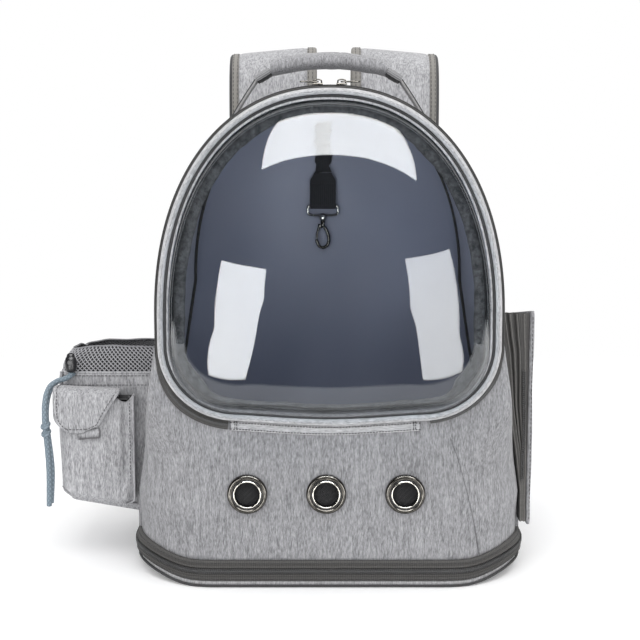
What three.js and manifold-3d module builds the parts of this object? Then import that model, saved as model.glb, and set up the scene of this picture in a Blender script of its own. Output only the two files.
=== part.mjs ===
// Bubble pet carrier backpack: a soft, arched carrier with a clear domed door, three vents, a zipped band
// round the base, a bottle pocket and a flap pocket on the left, a folded expansion on the right, a top
// handle, two shoulder straps and a leash with a snap hook inside.
// Millimetres, +X to the viewer's right, +Y from the door to the wearer's back, +Z up. The origin is the
// centre of the underside.
import * as THREE from "three";
import { mergeVertices } from "three/addons/utils/BufferGeometryUtils.js";
import Module from "manifold-3d";

// Body
const ARCH_HALF_WIDTH = 145.5; // where the arch springs
const FOOT_HALF_WIDTH = 171.5; // over the base band
const BODY_DEPTH = 280;
const BODY_HEIGHT = 429;
const SPRING_HEIGHT = 235;
const FLARE_HEIGHT = 70; // below this the sides are upright
const ARCH_POWER = 2.2;
const CLOTH = 3; // padded cloth wall
const GAP = 0.3; // between pieces that touch
const CORNER_LOW = 60; // front corner in plan, below the door
const CORNER_HIGH = 5; // front corner round the door
const CORNER_LOW_Z = 95;
const CORNER_HIGH_Z = 175;
const BACK_CORNER = 12;
const FRONT_PANEL_DEPTH = 65;
const BACK_PAD = 18;
const LINING = 1;

// Base
const TRAY = 5;
const BAND_HEIGHT = 19;
const BAND_THICK = 3;
const BAND_PROUD = 2;
const CHAIN_HEIGHT = 4;
const CHAIN_PROUD = 1.2;
const PIPING_RADIUS = 1.1;
const LIFT = 9; // the soft base curls up under its sides
const LIFT_START = 118;
const LIFT_TOP = 80;

// Door
const DOOR_FOOT = 149;
const DOOR_CORNER = 64;
const DOOR_BOW = 4.5; // its lower edge sags in the middle
const RIM_WIDTH = 5.6;
const RIM_DEPTH = 6.8;
const RIM_CLEAR = 0.3; // the rim stands this far outside the arch
const FRAME_WIDTH = 10; // cloth left round the door's opening
const DOME_HEIGHT = 70;
const DOME_WALL = 1.5;
const DOME_FLANGE = 6;
const DOME_POWER = 3.4;
const DOME_CENTRE_Z = DOOR_FOOT + 0.516 * (BODY_HEIGHT - DOOR_FOOT);
const DOOR_PIPING_RADIUS = 0.9;
const BINDING_WIDTH = 14;
const BINDING_THICK = 2.4;
const TAPE_WIDTH = 9;
const TAPE_THICK = 1.6;
const TAPE_STAND = 1.6;
const FLAP_LEFT = -84;
const FLAP_RIGHT = 77;
const FLAP_HEIGHT = 9;
const FLAP_THICK = 2.2;
const SLIDER_X = 10;
const SLIDER_LENGTH = 9;
const SLIDER_WIDTH = 7;
const SLIDER_PLATE = 1.6;
const BRIDGE_HALF = 3.3; // the bridge that a pull hangs on
const BRIDGE_POST = 0.7;
const BRIDGE_WIDTH = 1.2;
const BRIDGE_TOP = 4.6;
const PULL_LENGTH = 15;
const PULL_WIDTH = 5;
const PULL_THICK = 1.2;

// Vents
const VENT_PITCH = 68;
const VENT_SHIFT = -2.6;
const VENT_Z = 83;
const VENT_RADIUS = 17.2;
const VENT_HOLE = 10.8;
const VENT_BARREL = 12.2;
const VENT_PROUD = 4;
const MESH_RADIUS = 15;
const MESH_THICK = 1;

// Handle
const HANDLE_Y = 0;
const HANDLE_TOP = BODY_HEIGHT + 28; // the middle of the grip
const GRIP_HALF = 54;
const GRIP_DROP = 7; // its ends lie lower than its middle
const GRIP_RADIUS = 8.5;
const LEG_FOOT_X = 101;
const LEG_WIDTH = 28;
const WEBBING = 2.4;
const CUFF_LENGTH = 13;
const CUFF_RADIUS = 4.6;

// Shoulder straps
const STRAP_X = 64.5;
const STRAP_SHIFT = 7;
const STRAP_WIDTH = 92;
const STRAP_THICK = 12;
const STRAP_TOP = BODY_HEIGHT + 41;
const STRAP_FOOT_DROP = 22; // they are sewn on this far below the arch
const STRAP_END = 236;
const STRAP_TILT = 4; // their outer edges hang lower over the top
const STRAP_STAND_OFF = 57;
const ADJUSTER_HEIGHT = 26;
const ADJUSTER_HALF = 17;
const ADJUSTER_SLOT = 13.5;
const WEB_WIDTH = 25;
const ANCHOR_Z = 62;

// Left pockets
const POCKET_REACH = 75.5; // out from the base
const POCKET_OUT = FOOT_HALF_WIDTH + POCKET_REACH;
const POCKET_FRONT = -60;
const POCKET_BACK = 40;
const POCKET_FOOT = 45;
const POCKET_TOP = 173;
const POCKET_WALL = 2.5;
const POCKET_CORNER = 14;
const COLLAR_TOP = 204;
const FLAP_POCKET_WIDTH = 66;
const FLAP_POCKET_STEP = 4; // in from the bottle pocket's outer side
const FLAP_POCKET_LEFT = FLAP_POCKET_STEP - POCKET_OUT;
const FLAP_POCKET_RIGHT = FLAP_POCKET_LEFT + FLAP_POCKET_WIDTH;
const FLAP_POCKET_FOOT = 56;
const FLAP_POCKET_TOP = 154;
const FLAP_POCKET_PROUD = 18;
const COVER_OVER = 5.5; // past the flap pocket's left side
const COVER_SHORT = 13; // short of its right side
const COVER_LEFT = FLAP_POCKET_LEFT - COVER_OVER;
const COVER_RIGHT = FLAP_POCKET_RIGHT - COVER_SHORT;
const COVER_HEIGHT = 42;
const COVER_TOP = FLAP_POCKET_TOP + 10;
const COVER_FOOT = COVER_TOP - COVER_HEIGHT;
const COVER_THICK = 3;

// Cord
const CORD_RADIUS = 2.4;
const LOCK_RADIUS = 5.2;
const LOCK_HEIGHT = 17;

// Right expansion
const SIDE_REACH = 11; // out from the base
const SIDE_OUT = FOOT_HALF_WIDTH + SIDE_REACH;
const SIDE_FRONT = -92;
const SIDE_BACK = 108;
const SIDE_FOOT = 42;
const SIDE_TOP = 233;
const SIDE_DROP = 34; // the wing's top slopes down this much from its front to its back
const SIDE_PLATE = 4.6;
const SIDE_CHAIN_FOOT = 40; // the zip shows between these distances from the panel's two ends
const SIDE_CHAIN_TOP = 52;
const SIDE_CHAIN_HALF = 1.6;
const SIDE_CLEAR = 0.5; // what hangs on the body's sides stands off them by this

// Leash
const LEASH_X = -5;
const LEASH_TOP = BODY_HEIGHT - 29;
const LEASH_KNOT = LEASH_TOP - 52;
const LEASH_WIDTH = 18;
const TAB_WIDTH = 27.2;
const TAB_THICK = 5.4;
const TAB_FOOT = LEASH_KNOT - 37.2;
const RING_HALF_WIDTH = 15.6;
const RING_TOP = TAB_FOOT + 4.2;
const RING_FOOT = RING_TOP - 11;
const RING_WIRE = 1.4;
const BOSS_RADIUS = 4;
const PIN_RADIUS = 1.3;
const HOOK_WIRE = 1.7;
const HOOK_HALF_WIDTH = 6.1;
const HOOK_LENGTH = 24;
const HOOK_CLEAR = 1.4;
const GATE_WIRE = 1.2;
const GATE_PIVOT_X = 4;
const EAR_THICK = 0.8;

const FRONT = -BODY_DEPTH / 2;
const BACK = BODY_DEPTH / 2;
const SHELL_FOOT = TRAY + BAND_HEIGHT;
const PANEL_END = FRONT + FRONT_PANEL_DEPTH;
const GUSSET_END = BACK - BACK_PAD;
const CABIN_BACK = GUSSET_END - LINING - GAP;

const wasm = await Module();
wasm.setup();

const part = new THREE.Group();
const heather = finish(0x9a9a9c, 0.95);
const paleHeather = finish(0xa9a8aa, 0.95);
const darkTape = finish(0x4b4a48, 0.8);
const slate = finish(0x50535f, 0.9);
const blackWebbing = finish(0x17171a, 0.9);
const gunmetal = finish(0x5a5b60, 0.35, 0.9);
const clearPlastic = finish(0xe8eef2, 0.08);

// Materials and solids

function finish(color, roughness, metalness = 0) {
  return new THREE.MeshStandardMaterial({ color, roughness, metalness });
}

function addMesh(parent, name, geometry, material) {
  const mesh = new THREE.Mesh(geometry, material);
  mesh.name = name;
  parent.add(mesh);
  return mesh;
}

function toSolid(geometry) {
  const bare = new THREE.BufferGeometry();
  const source = geometry.index ? geometry.toNonIndexed() : geometry;
  bare.setAttribute("position", source.getAttribute("position"));
  const merged = mergeVertices(bare, 1e-4);
  return new wasm.Manifold(
    new wasm.Mesh({
      numProp: 3,
      vertProperties: new Float32Array(merged.getAttribute("position").array),
      triVerts: new Uint32Array(merged.index.array),
    }),
  );
}

function toGeometry(solid) {
  const mesh = solid.getMesh();
  const geometry = new THREE.BufferGeometry();
  geometry.setAttribute("position", new THREE.BufferAttribute(mesh.vertProperties, 3));
  geometry.setIndex(new THREE.BufferAttribute(mesh.triVerts, 1));
  return geometry;
}

function cut(geometry, ...tools) {
  return toGeometry(tools.reduce((solid, tool) => solid.subtract(toSolid(tool)), toSolid(geometry)));
}

function join(geometry, ...others) {
  return toGeometry(others.reduce((solid, other) => solid.add(toSolid(other)), toSolid(geometry)));
}

// A closed body through rings of points. Its ends are fans about their middles or the given tips, or the
// body closes on itself.
function loft(rings, { closed = false, startTip = null, endTip = null } = {}) {
  const count = rings[0].length;
  const points = rings.flat();
  const faces = [];
  const last = closed ? rings.length : rings.length - 1;
  for (let i = 0; i < last; i++) {
    const a = i * count;
    const b = ((i + 1) % rings.length) * count;
    for (let j = 0; j < count; j++) {
      const k = (j + 1) % count;
      faces.push(a + j, a + k, b + k, a + j, b + k, b + j);
    }
  }
  if (!closed) {
    const tail = (rings.length - 1) * count;
    points.push(startTip ?? middleOf(rings[0]), endTip ?? middleOf(rings[rings.length - 1]));
    for (let j = 0; j < count; j++) {
      const k = (j + 1) % count;
      faces.push(points.length - 2, k, j, points.length - 1, tail + j, tail + k);
    }
  }
  return facingOut(points, faces);
}

function middleOf(ring) {
  return ring.reduce((sum, p) => sum.add(p), new THREE.Vector3()).divideScalar(ring.length);
}

function facingOut(points, faces) {
  let volume = 0;
  for (let i = 0; i < faces.length; i += 3) {
    const [a, b, c] = [points[faces[i]], points[faces[i + 1]], points[faces[i + 2]]];
    volume += a.dot(new THREE.Vector3().crossVectors(b, c));
  }
  const turned = volume < 0 ? faces.slice().reverse() : faces;
  const geometry = new THREE.BufferGeometry();
  geometry.setFromPoints(points);
  geometry.setIndex(turned);
  return geometry;
}

// A block between two corners.
function block([x0, y0, z0], [x1, y1, z1]) {
  const geometry = new THREE.BoxGeometry(x1 - x0, y1 - y0, z1 - z0);
  return geometry.translate((x0 + x1) / 2, (y0 + y1) / 2, (z0 + z1) / 2);
}

// A strap or bar with rounded edges through stations of { at, wide, thick }, the last two half extents.
const ROUND_EDGE = [
  { across: 1, through: 0.45 },
  { across: 0.86, through: 1 },
  { across: -0.86, through: 1 },
  { across: -1, through: 0.45 },
  { across: -1, through: -0.45 },
  { across: -0.86, through: -1 },
  { across: 0.86, through: -1 },
  { across: 1, through: -0.45 },
];

function bar(stations) {
  return loft(
    stations.map(({ at, wide, thick }) =>
      ROUND_EDGE.map(({ across, through }) =>
        new THREE.Vector3(...at)
          .addScaledVector(new THREE.Vector3(...wide), across)
          .addScaledVector(new THREE.Vector3(...thick), through),
      ),
    ),
  );
}

// A round wire along a curve, with flat ends, or a closed one.
function wire(points, radius, { sides = 8, steps = 16, closed = false } = {}) {
  const curve = new THREE.CatmullRomCurve3(
    points.map((p) => new THREE.Vector3(...p)),
    closed,
  );
  const section = new THREE.Shape(
    Array.from({ length: sides }, (_, i) => {
      const angle = (i / sides) * 2 * Math.PI;
      return new THREE.Vector2(radius * Math.cos(angle), radius * Math.sin(angle));
    }),
  );
  return new THREE.ExtrudeGeometry(section, { steps, extrudePath: curve, bevelEnabled: false });
}

// Outlines

function smooth(value) {
  const t = Math.min(1, Math.max(0, value));
  return t * t * (3 - 2 * t);
}

function sideHalfWidth(z) {
  const t = Math.min(1, Math.max(0, (SPRING_HEIGHT - z) / (SPRING_HEIGHT - FLARE_HEIGHT)));
  return ARCH_HALF_WIDTH + t * (FOOT_HALF_WIDTH - ARCH_HALF_WIDTH);
}

function cornerRadius(z) {
  const t = smooth((CORNER_HIGH_Z - z) / (CORNER_HIGH_Z - CORNER_LOW_Z));
  return CORNER_HIGH + t * (CORNER_LOW - CORNER_HIGH);
}

// How far the soft base is curled up at x, fading out with height.
function lift(x, z) {
  const share = smooth((Math.abs(x) - LIFT_START) / (FOOT_HALF_WIDTH - LIFT_START));
  return LIFT * share * (1 - smooth((z - SHELL_FOOT) / (LIFT_TOP - SHELL_FOOT)));
}

function settled(x, y, z) {
  return new THREE.Vector3(x, y, z + lift(x, z));
}

function archPoint(angle) {
  const c = Math.cos(angle);
  const s = Math.sin(angle);
  const x = ARCH_HALF_WIDTH * Math.sign(c) * Math.abs(c) ** (2 / ARCH_POWER);
  const rise = (BODY_HEIGHT - SPRING_HEIGHT) * s ** (2 / ARCH_POWER);
  const nx = Math.sign(c) * Math.abs(x / ARCH_HALF_WIDTH) ** (ARCH_POWER - 1) / ARCH_HALF_WIDTH;
  const nz = (rise / (BODY_HEIGHT - SPRING_HEIGHT)) ** (ARCH_POWER - 1) / (BODY_HEIGHT - SPRING_HEIGHT);
  const length = Math.hypot(nx, nz);
  return { x, z: SPRING_HEIGHT + rise, nx: nx / length, nz: nz / length };
}

// The body's outline from its left foot over the arch to its right foot, with outward normals.
function bodyOutline(foot, archSteps = 18) {
  const rounding = [0.1, 0.4, 0.7, 1].map((share) => CORNER_LOW_Z + share * (CORNER_HIGH_Z - CORNER_LOW_Z));
  const upper = (CORNER_HIGH_Z + SPRING_HEIGHT) / 2;
  const heights = [foot, (foot + FLARE_HEIGHT) / 2, FLARE_HEIGHT, ...rounding, upper];
  const left = heights.map((z) => ({ x: -sideHalfWidth(z), z, nx: -1, nz: 0 }));
  const arch = Array.from({ length: archSteps + 1 }, (_, i) =>
    archPoint(Math.PI * (1 - i / archSteps)),
  );
  const right = left.map(({ x, z }) => ({ x: -x, z, nx: 1, nz: 0 })).reverse();
  return [...left, ...arch, ...right];
}

const FOOT_STOPS = [1, 0.94, 0.86, LIFT_START / FOOT_HALF_WIDTH, 0.3, -0.3,
  -LIFT_START / FOOT_HALF_WIDTH, -0.86, -0.94, -1];

// A closed ring of the body at one depth. inset(z) and depth(z) say how far in and how far back it lies.
function bodyRing(foot, inset, depth) {
  const sides = bodyOutline(foot).map(({ x, z, nx, nz }) => {
    const i = inset(z);
    return settled(x - nx * i, depth(z), z - nz * i);
  });
  const half = sideHalfWidth(foot) - inset(foot);
  const under = FOOT_STOPS.slice(1, -1).map((share) => settled(share * half, depth(foot), foot));
  return [...sides, ...under];
}

// The front of the body with its rounded corners, drawn in by wall, back to the depth of end.
function frontBody(wall, foot, end) {
  const rounding = [0, 22.5, 45, 67.5, 90].map((degrees) => {
    const angle = THREE.MathUtils.degToRad(degrees);
    const inset = (z) => wall + (cornerRadius(z) - wall) * (1 - Math.sin(angle));
    const depth = (z) => FRONT + wall + (cornerRadius(z) - wall) * (1 - Math.cos(angle));
    return bodyRing(foot, inset, depth);
  });
  return loft([...rounding, bodyRing(foot, () => wall, () => end)]);
}

function straightBody(wall, foot, start, end) {
  return loft([bodyRing(foot, () => wall, () => start), bodyRing(foot, () => wall, () => end)]);
}

// The door's outline, anticlockwise from its lower right corner, moved out by offset along its normal.
function doorOutline(offset = 0) {
  const points = [];
  const low = DOOR_FOOT + DOOR_CORNER;
  const side = ARCH_HALF_WIDTH - DOOR_CORNER;
  const turn = 6;
  for (let i = 0; i <= turn; i++) {
    const a = -Math.PI / 2 + (i / turn) * (Math.PI / 2);
    points.push([side + DOOR_CORNER * Math.cos(a), low + DOOR_CORNER * Math.sin(a)]);
  }
  for (let i = 0; i <= 18; i++) {
    const { x, z } = archPoint((i / 18) * Math.PI);
    points.push([x, z]);
  }
  for (let i = 0; i <= turn; i++) {
    const a = Math.PI + (i / turn) * (Math.PI / 2);
    points.push([-side + DOOR_CORNER * Math.cos(a), low + DOOR_CORNER * Math.sin(a)]);
  }
  for (const share of [-0.66, -0.33, 0, 0.33, 0.66]) points.push([share * side, DOOR_FOOT]);
  const bowed = points.map(([x, z]) => {
    const share = Math.abs(x) < side + 20 && z < low ? Math.cos((Math.PI * x) / (2 * (side + 20))) ** 2 : 0;
    return [x, z - DOOR_BOW * share];
  });
  return bowed.map(([x, z], i) => {
    const [ax, az] = bowed[(i + bowed.length - 1) % bowed.length];
    const [bx, bz] = bowed[(i + 1) % bowed.length];
    const length = Math.hypot(bx - ax, bz - az);
    const nx = (bz - az) / length;
    const nz = -(bx - ax) / length;
    return { x: x + nx * offset, z: z + nz * offset, nx, nz };
  });
}

// A ring round the door, its section given by corners of { out, y } at each point of the outline.
function doorRing(section, closed = true, points = doorOutline()) {
  const place = (p, { out, y }) => new THREE.Vector3(p.x + p.nx * out, y, p.z + p.nz * out);
  return loft(points.map((p) => section(p).map((corner) => place(p, corner))), { closed });
}

// The plan of the base, moved out by offset, from the front's middle round by the right side.
function planOutline(offset) {
  const half = FOOT_HALF_WIDTH + offset;
  const front = { y: FRONT - offset, r: CORNER_LOW + offset };
  const back = { y: BACK + offset, r: BACK_CORNER + offset };
  const right = [];
  const straight = half - front.r;
  right.push([0, front.y], [straight, front.y]);
  for (let i = 1; i <= 6; i++) {
    const a = (i / 6) * (Math.PI / 2);
    right.push([straight + front.r * Math.sin(a), front.y + front.r * (1 - Math.cos(a))]);
  }
  for (let i = 0; i <= 3; i++) {
    const a = (i / 3) * (Math.PI / 2);
    right.push([half - back.r * (1 - Math.cos(a)), back.y - back.r * (1 - Math.sin(a))]);
  }
  right.push([half * 0.86, back.y], [half * 0.78, back.y], [LIFT_START, back.y]);
  const left = right.slice(1).map(([x, y]) => [-x, y]);
  return [...right, ...left.reverse()];
}

// A band round the base, its section given by corners of { out, z }.
function baseRing(section) {
  const rings = section.map(({ out, z }) => planOutline(out).map(([x, y]) => settled(x, y, z)));
  return loft(rings, { closed: true });
}

// Body

function vents() {
  return ["left", "middle", "right"].map((side, i) => ({
    side,
    x: VENT_SHIFT + (i - 1) * VENT_PITCH,
  }));
}

function roundAbout(profile, x, z, segments = 20) {
  const points = profile.map(({ r, y }) => new THREE.Vector2(r, y));
  return new THREE.LatheGeometry(points, segments).translate(x, 0, z);
}

function frontShell() {
  const doorway = loft([FRONT - 10, FRONT + 3 * CLOTH].map((y) =>
    doorOutline(-FRAME_WIDTH).map(({ x, z }) => new THREE.Vector3(x, y, z))));
  const bores = vents().map(({ x }) =>
    roundAbout([
      { r: 0, y: FRONT - 5 },
      { r: VENT_BARREL + GAP, y: FRONT - 5 },
      { r: VENT_BARREL + GAP, y: FRONT + 3 * CLOTH },
      { r: 0, y: FRONT + 3 * CLOTH },
    ], x, VENT_Z));
  return cut(
    frontBody(0, SHELL_FOOT, PANEL_END),
    frontBody(CLOTH, SHELL_FOOT - 2 * CLOTH, PANEL_END + CLOTH),
    doorway,
    ...bores,
  );
}

function gusset() {
  return cut(
    straightBody(0, SHELL_FOOT, PANEL_END + GAP, GUSSET_END),
    straightBody(CLOTH, SHELL_FOOT - 2 * CLOTH, PANEL_END - CLOTH, GUSSET_END + CLOTH),
  );
}

function lining() {
  const outside = CLOTH + GAP;
  return cut(
    straightBody(outside, TRAY + GAP, PANEL_END + 2 * GAP, GUSSET_END - GAP),
    straightBody(outside + LINING, TRAY + GAP + LINING, PANEL_END - CLOTH, CABIN_BACK),
  );
}

function backPanel() {
  const ring = (inset, y) => bodyRing(SHELL_FOOT, () => inset, () => y);
  return loft([
    ring(0, GUSSET_END + GAP),
    ring(0, BACK - BACK_CORNER),
    ring(BACK_CORNER * 0.3, BACK - BACK_CORNER * 0.3),
    ring(BACK_CORNER, BACK),
  ]);
}

function baseTray() {
  const shares = [1, 0.985, 0.94, 0.88, 0.78, LIFT_START / FOOT_HALF_WIDTH, -0.23,
    -LIFT_START / FOOT_HALF_WIDTH, -0.78, -0.88, -0.94, -0.985, -1];
  return loft(shares.map((share) => {
    const x = share * FOOT_HALF_WIDTH;
    const corner = (r) => {
      const over = Math.max(0, Math.abs(x) - (FOOT_HALF_WIDTH - r));
      return r - Math.sqrt(r * r - over * over);
    };
    const [y0, y1] = [FRONT + corner(CORNER_LOW), BACK - corner(BACK_CORNER)];
    return [
      settled(x, y0, 0),
      settled(x, y1, 0),
      settled(x, y1, TRAY),
      settled(x, y0, TRAY),
    ];
  }));
}

function buildBody() {
  const body = new THREE.Group();
  addMesh(body, "front_shell", frontShell(), heather);
  addMesh(body, "gusset", gusset(), heather);
  addMesh(body, "lining", lining(), slate);
  addMesh(body, "back_panel", backPanel(), heather);
  addMesh(body, "base_tray", baseTray(), heather);
  const bandFoot = TRAY + 2 * GAP;
  const bandTop = SHELL_FOOT - GAP;
  const inner = BAND_PROUD - BAND_THICK;
  addMesh(body, "expansion_tape", baseRing([
    { out: inner, z: bandFoot },
    { out: BAND_PROUD - 0.6, z: bandFoot },
    { out: BAND_PROUD, z: bandFoot + 2 },
    { out: BAND_PROUD, z: bandTop - 2 },
    { out: BAND_PROUD - 0.6, z: bandTop },
    { out: inner, z: bandTop },
  ]), darkTape);
  const chainZ = TRAY + BAND_HEIGHT / 2;
  const chainIn = BAND_PROUD + GAP;
  addMesh(body, "expansion_chain", baseRing([
    { out: chainIn, z: chainZ - CHAIN_HEIGHT / 2 },
    { out: chainIn + CHAIN_PROUD, z: chainZ },
    { out: chainIn, z: chainZ + CHAIN_HEIGHT / 2 },
  ]), darkTape);
  const pipingOut = PIPING_RADIUS + 3 * GAP;
  addMesh(body, "base_piping", baseRing([
    { out: pipingOut, z: GAP },
    { out: pipingOut + PIPING_RADIUS, z: GAP + PIPING_RADIUS },
    { out: pipingOut, z: GAP + 2 * PIPING_RADIUS },
    { out: pipingOut - PIPING_RADIUS, z: GAP + PIPING_RADIUS },
  ]), darkTape);
  return body;
}

// Vents

function buildVents() {
  const group = new THREE.Group();
  for (const { side, x } of vents()) {
    const face = FRONT - GAP;
    const profile = [
      { r: VENT_HOLE, y: FRONT + CLOTH },
      { r: VENT_HOLE, y: face - VENT_PROUD * 0.7 },
      { r: VENT_BARREL, y: face - VENT_PROUD },
      { r: VENT_RADIUS - 1.6, y: face - VENT_PROUD },
      { r: VENT_RADIUS, y: face - VENT_PROUD * 0.5 },
      { r: VENT_RADIUS, y: face },
      { r: VENT_BARREL, y: face },
      { r: VENT_BARREL, y: FRONT + CLOTH },
      { r: VENT_HOLE, y: FRONT + CLOTH },
    ];
    addMesh(group, `vent_ring_${side}`, roundAbout(profile, x, VENT_Z), gunmetal);
    const discFront = FRONT + CLOTH + GAP;
    const disc = [
      { r: 0, y: discFront },
      { r: MESH_RADIUS, y: discFront },
      { r: MESH_RADIUS, y: discFront + MESH_THICK },
      { r: 0, y: discFront + MESH_THICK },
    ];
    addMesh(group, `vent_mesh_${side}`, roundAbout(disc, x, VENT_Z), blackWebbing);
  }
  return group;
}

// Door

// The zip tape lies flat on the front below the arch and wraps over the gusset's edge round it.
function tapeSection({ x, z, nx }) {
  const spare = z < SPRING_HEIGHT ? (sideHalfWidth(z) - Math.abs(x)) / Math.max(0.1, Math.abs(nx)) : 0;
  const wrap = 1 - Math.min(1, spare / TAPE_WIDTH);
  const stiff = TAPE_STAND * Math.sin(Math.PI * wrap ** 0.5); // it stands off the edge as it turns over it
  const inner = RIM_CLEAR + GAP;
  const lying = [
    { out: inner, y: FRONT - GAP },
    { out: inner + TAPE_WIDTH, y: FRONT - GAP },
    { out: inner + TAPE_WIDTH, y: FRONT - GAP - TAPE_THICK },
    { out: inner, y: FRONT - GAP - TAPE_THICK },
  ];
  const wrapped = [
    { out: inner, y: FRONT - RIM_DEPTH * 0.7 },
    { out: inner, y: FRONT - RIM_DEPTH * 0.7 + TAPE_WIDTH + 2 },
    { out: inner + TAPE_THICK, y: FRONT - RIM_DEPTH * 0.7 + TAPE_WIDTH + 2 },
    { out: inner + TAPE_THICK, y: FRONT - RIM_DEPTH * 0.7 },
  ];
  return lying.map((from, i) => ({
    out: THREE.MathUtils.lerp(from.out, wrapped[i].out, wrap) + stiff,
    y: THREE.MathUtils.lerp(from.y, wrapped[i].y, wrap) - stiff,
  }));
}

// The door's outline from one end of the hinge flap over the arch to the other.
function tapePath() {
  const points = doorOutline();
  const low = DOOR_FOOT + DOOR_CORNER * 0.5;
  const underFlap = ({ x, z }) => z < low && x > FLAP_LEFT - 1 && x < FLAP_RIGHT + 9;
  return points.filter((p) => !underFlap(p));
}

function bubble() {
  const seat = RIM_CLEAR - RIM_WIDTH - GAP;
  const back = FRONT - GAP;
  const face = back - DOME_WALL;
  const ring = (offset, y) => doorOutline(offset).map(({ x, z }) => new THREE.Vector3(x, y, z));
  const dome = (share, rise, foot, inset) => {
    const height = rise * (1 - share ** DOME_POWER) ** (1 / DOME_POWER);
    return doorOutline(seat - DOME_FLANGE - inset).map(({ x, z }) =>
      new THREE.Vector3(x * share, foot - height, DOME_CENTRE_Z + (z - DOME_CENTRE_Z) * share));
  };
  const shares = [0.5, 0.72, 0.86, 0.95, 1];
  const inside = shares.map((s) => dome(s, DOME_HEIGHT - DOME_WALL, back, DOME_WALL));
  const outside = shares.map((s) => dome(s, DOME_HEIGHT, face, 0)).reverse();
  const tip = (y) => new THREE.Vector3(0, y, DOME_CENTRE_Z);
  return loft([...inside, ring(seat, back), ring(seat, face), ...outside], {
    startTip: tip(back - DOME_HEIGHT + DOME_WALL),
    endTip: tip(face - DOME_HEIGHT),
  });
}

// The door's lower edge at x.
function doorFootAt(x) {
  const foot = doorOutline().filter(({ z }) => z < DOOR_FOOT + DOOR_CORNER / 2).sort((a, b) => a.x - b.x);
  const next = foot.findIndex((p) => p.x >= x);
  const [a, b] = [foot[next - 1], foot[next]];
  return THREE.MathUtils.mapLinear(x, a.x, b.x, a.z, b.z);
}

function hingeFlap() {
  const side = ARCH_HALF_WIDTH - DOOR_CORNER;
  const inner = doorOutline().map(({ x }) => x).filter((x) => Math.abs(x) < side * 0.8);
  const stops = [FLAP_LEFT, ...new Set(inner.map((x) => Math.round(x))), FLAP_RIGHT].filter(
    (x) => x >= FLAP_LEFT && x <= FLAP_RIGHT);
  const ordered = stops.sort((a, b) => a - b).map((x) => ({ x, z: doorFootAt(x), nx: 0, nz: -1 }));
  const out = RIM_CLEAR + 2 * GAP;
  return doorRing(() => [
    { out, y: FRONT - GAP },
    { out: out + FLAP_HEIGHT, y: FRONT - GAP },
    { out: out + FLAP_HEIGHT, y: FRONT - GAP - FLAP_THICK },
    { out, y: FRONT - GAP - FLAP_THICK },
  ], false, ordered);
}

function buildDoor() {
  const door = new THREE.Group();
  const back = FRONT - GAP;
  addMesh(door, "door_rim", doorRing(() => [
    { out: RIM_CLEAR, y: back },
    { out: RIM_CLEAR, y: back - RIM_DEPTH * 0.75 },
    { out: RIM_CLEAR - RIM_WIDTH * 0.3, y: back - RIM_DEPTH },
    { out: RIM_CLEAR - RIM_WIDTH * 0.75, y: back - RIM_DEPTH },
    { out: RIM_CLEAR - RIM_WIDTH, y: back - RIM_DEPTH * 0.7 },
    { out: RIM_CLEAR - RIM_WIDTH, y: back },
  ]), paleHeather);
  const pipingOut = RIM_CLEAR - RIM_WIDTH - GAP - DOME_FLANGE / 2;
  const pipingY = back - DOME_WALL - GAP - DOOR_PIPING_RADIUS;
  addMesh(door, "door_piping", doorRing(() => [
    { out: pipingOut + DOOR_PIPING_RADIUS, y: pipingY },
    { out: pipingOut, y: pipingY + DOOR_PIPING_RADIUS },
    { out: pipingOut - DOOR_PIPING_RADIUS, y: pipingY },
    { out: pipingOut, y: pipingY - DOOR_PIPING_RADIUS },
  ]), paleHeather);
  addMesh(door, "door_zip_tape", doorRing(tapeSection, false, tapePath()), darkTape);
  addMesh(door, "bubble", bubble(), clearPlastic);
  const bindingOut = -FRAME_WIDTH - GAP;
  addMesh(door, "inner_binding", doorRing(() => [
    { out: bindingOut, y: FRONT },
    { out: bindingOut - BINDING_WIDTH, y: FRONT + BINDING_THICK },
    { out: bindingOut - BINDING_WIDTH, y: FRONT + 2 * BINDING_THICK },
    { out: bindingOut, y: FRONT + BINDING_THICK },
  ]), slate);
  addMesh(door, "hinge_flap", hingeFlap(), paleHeather);
  return door;
}

// Zip sliders at the top of the door and their pulls, which lie along the zip.

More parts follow.
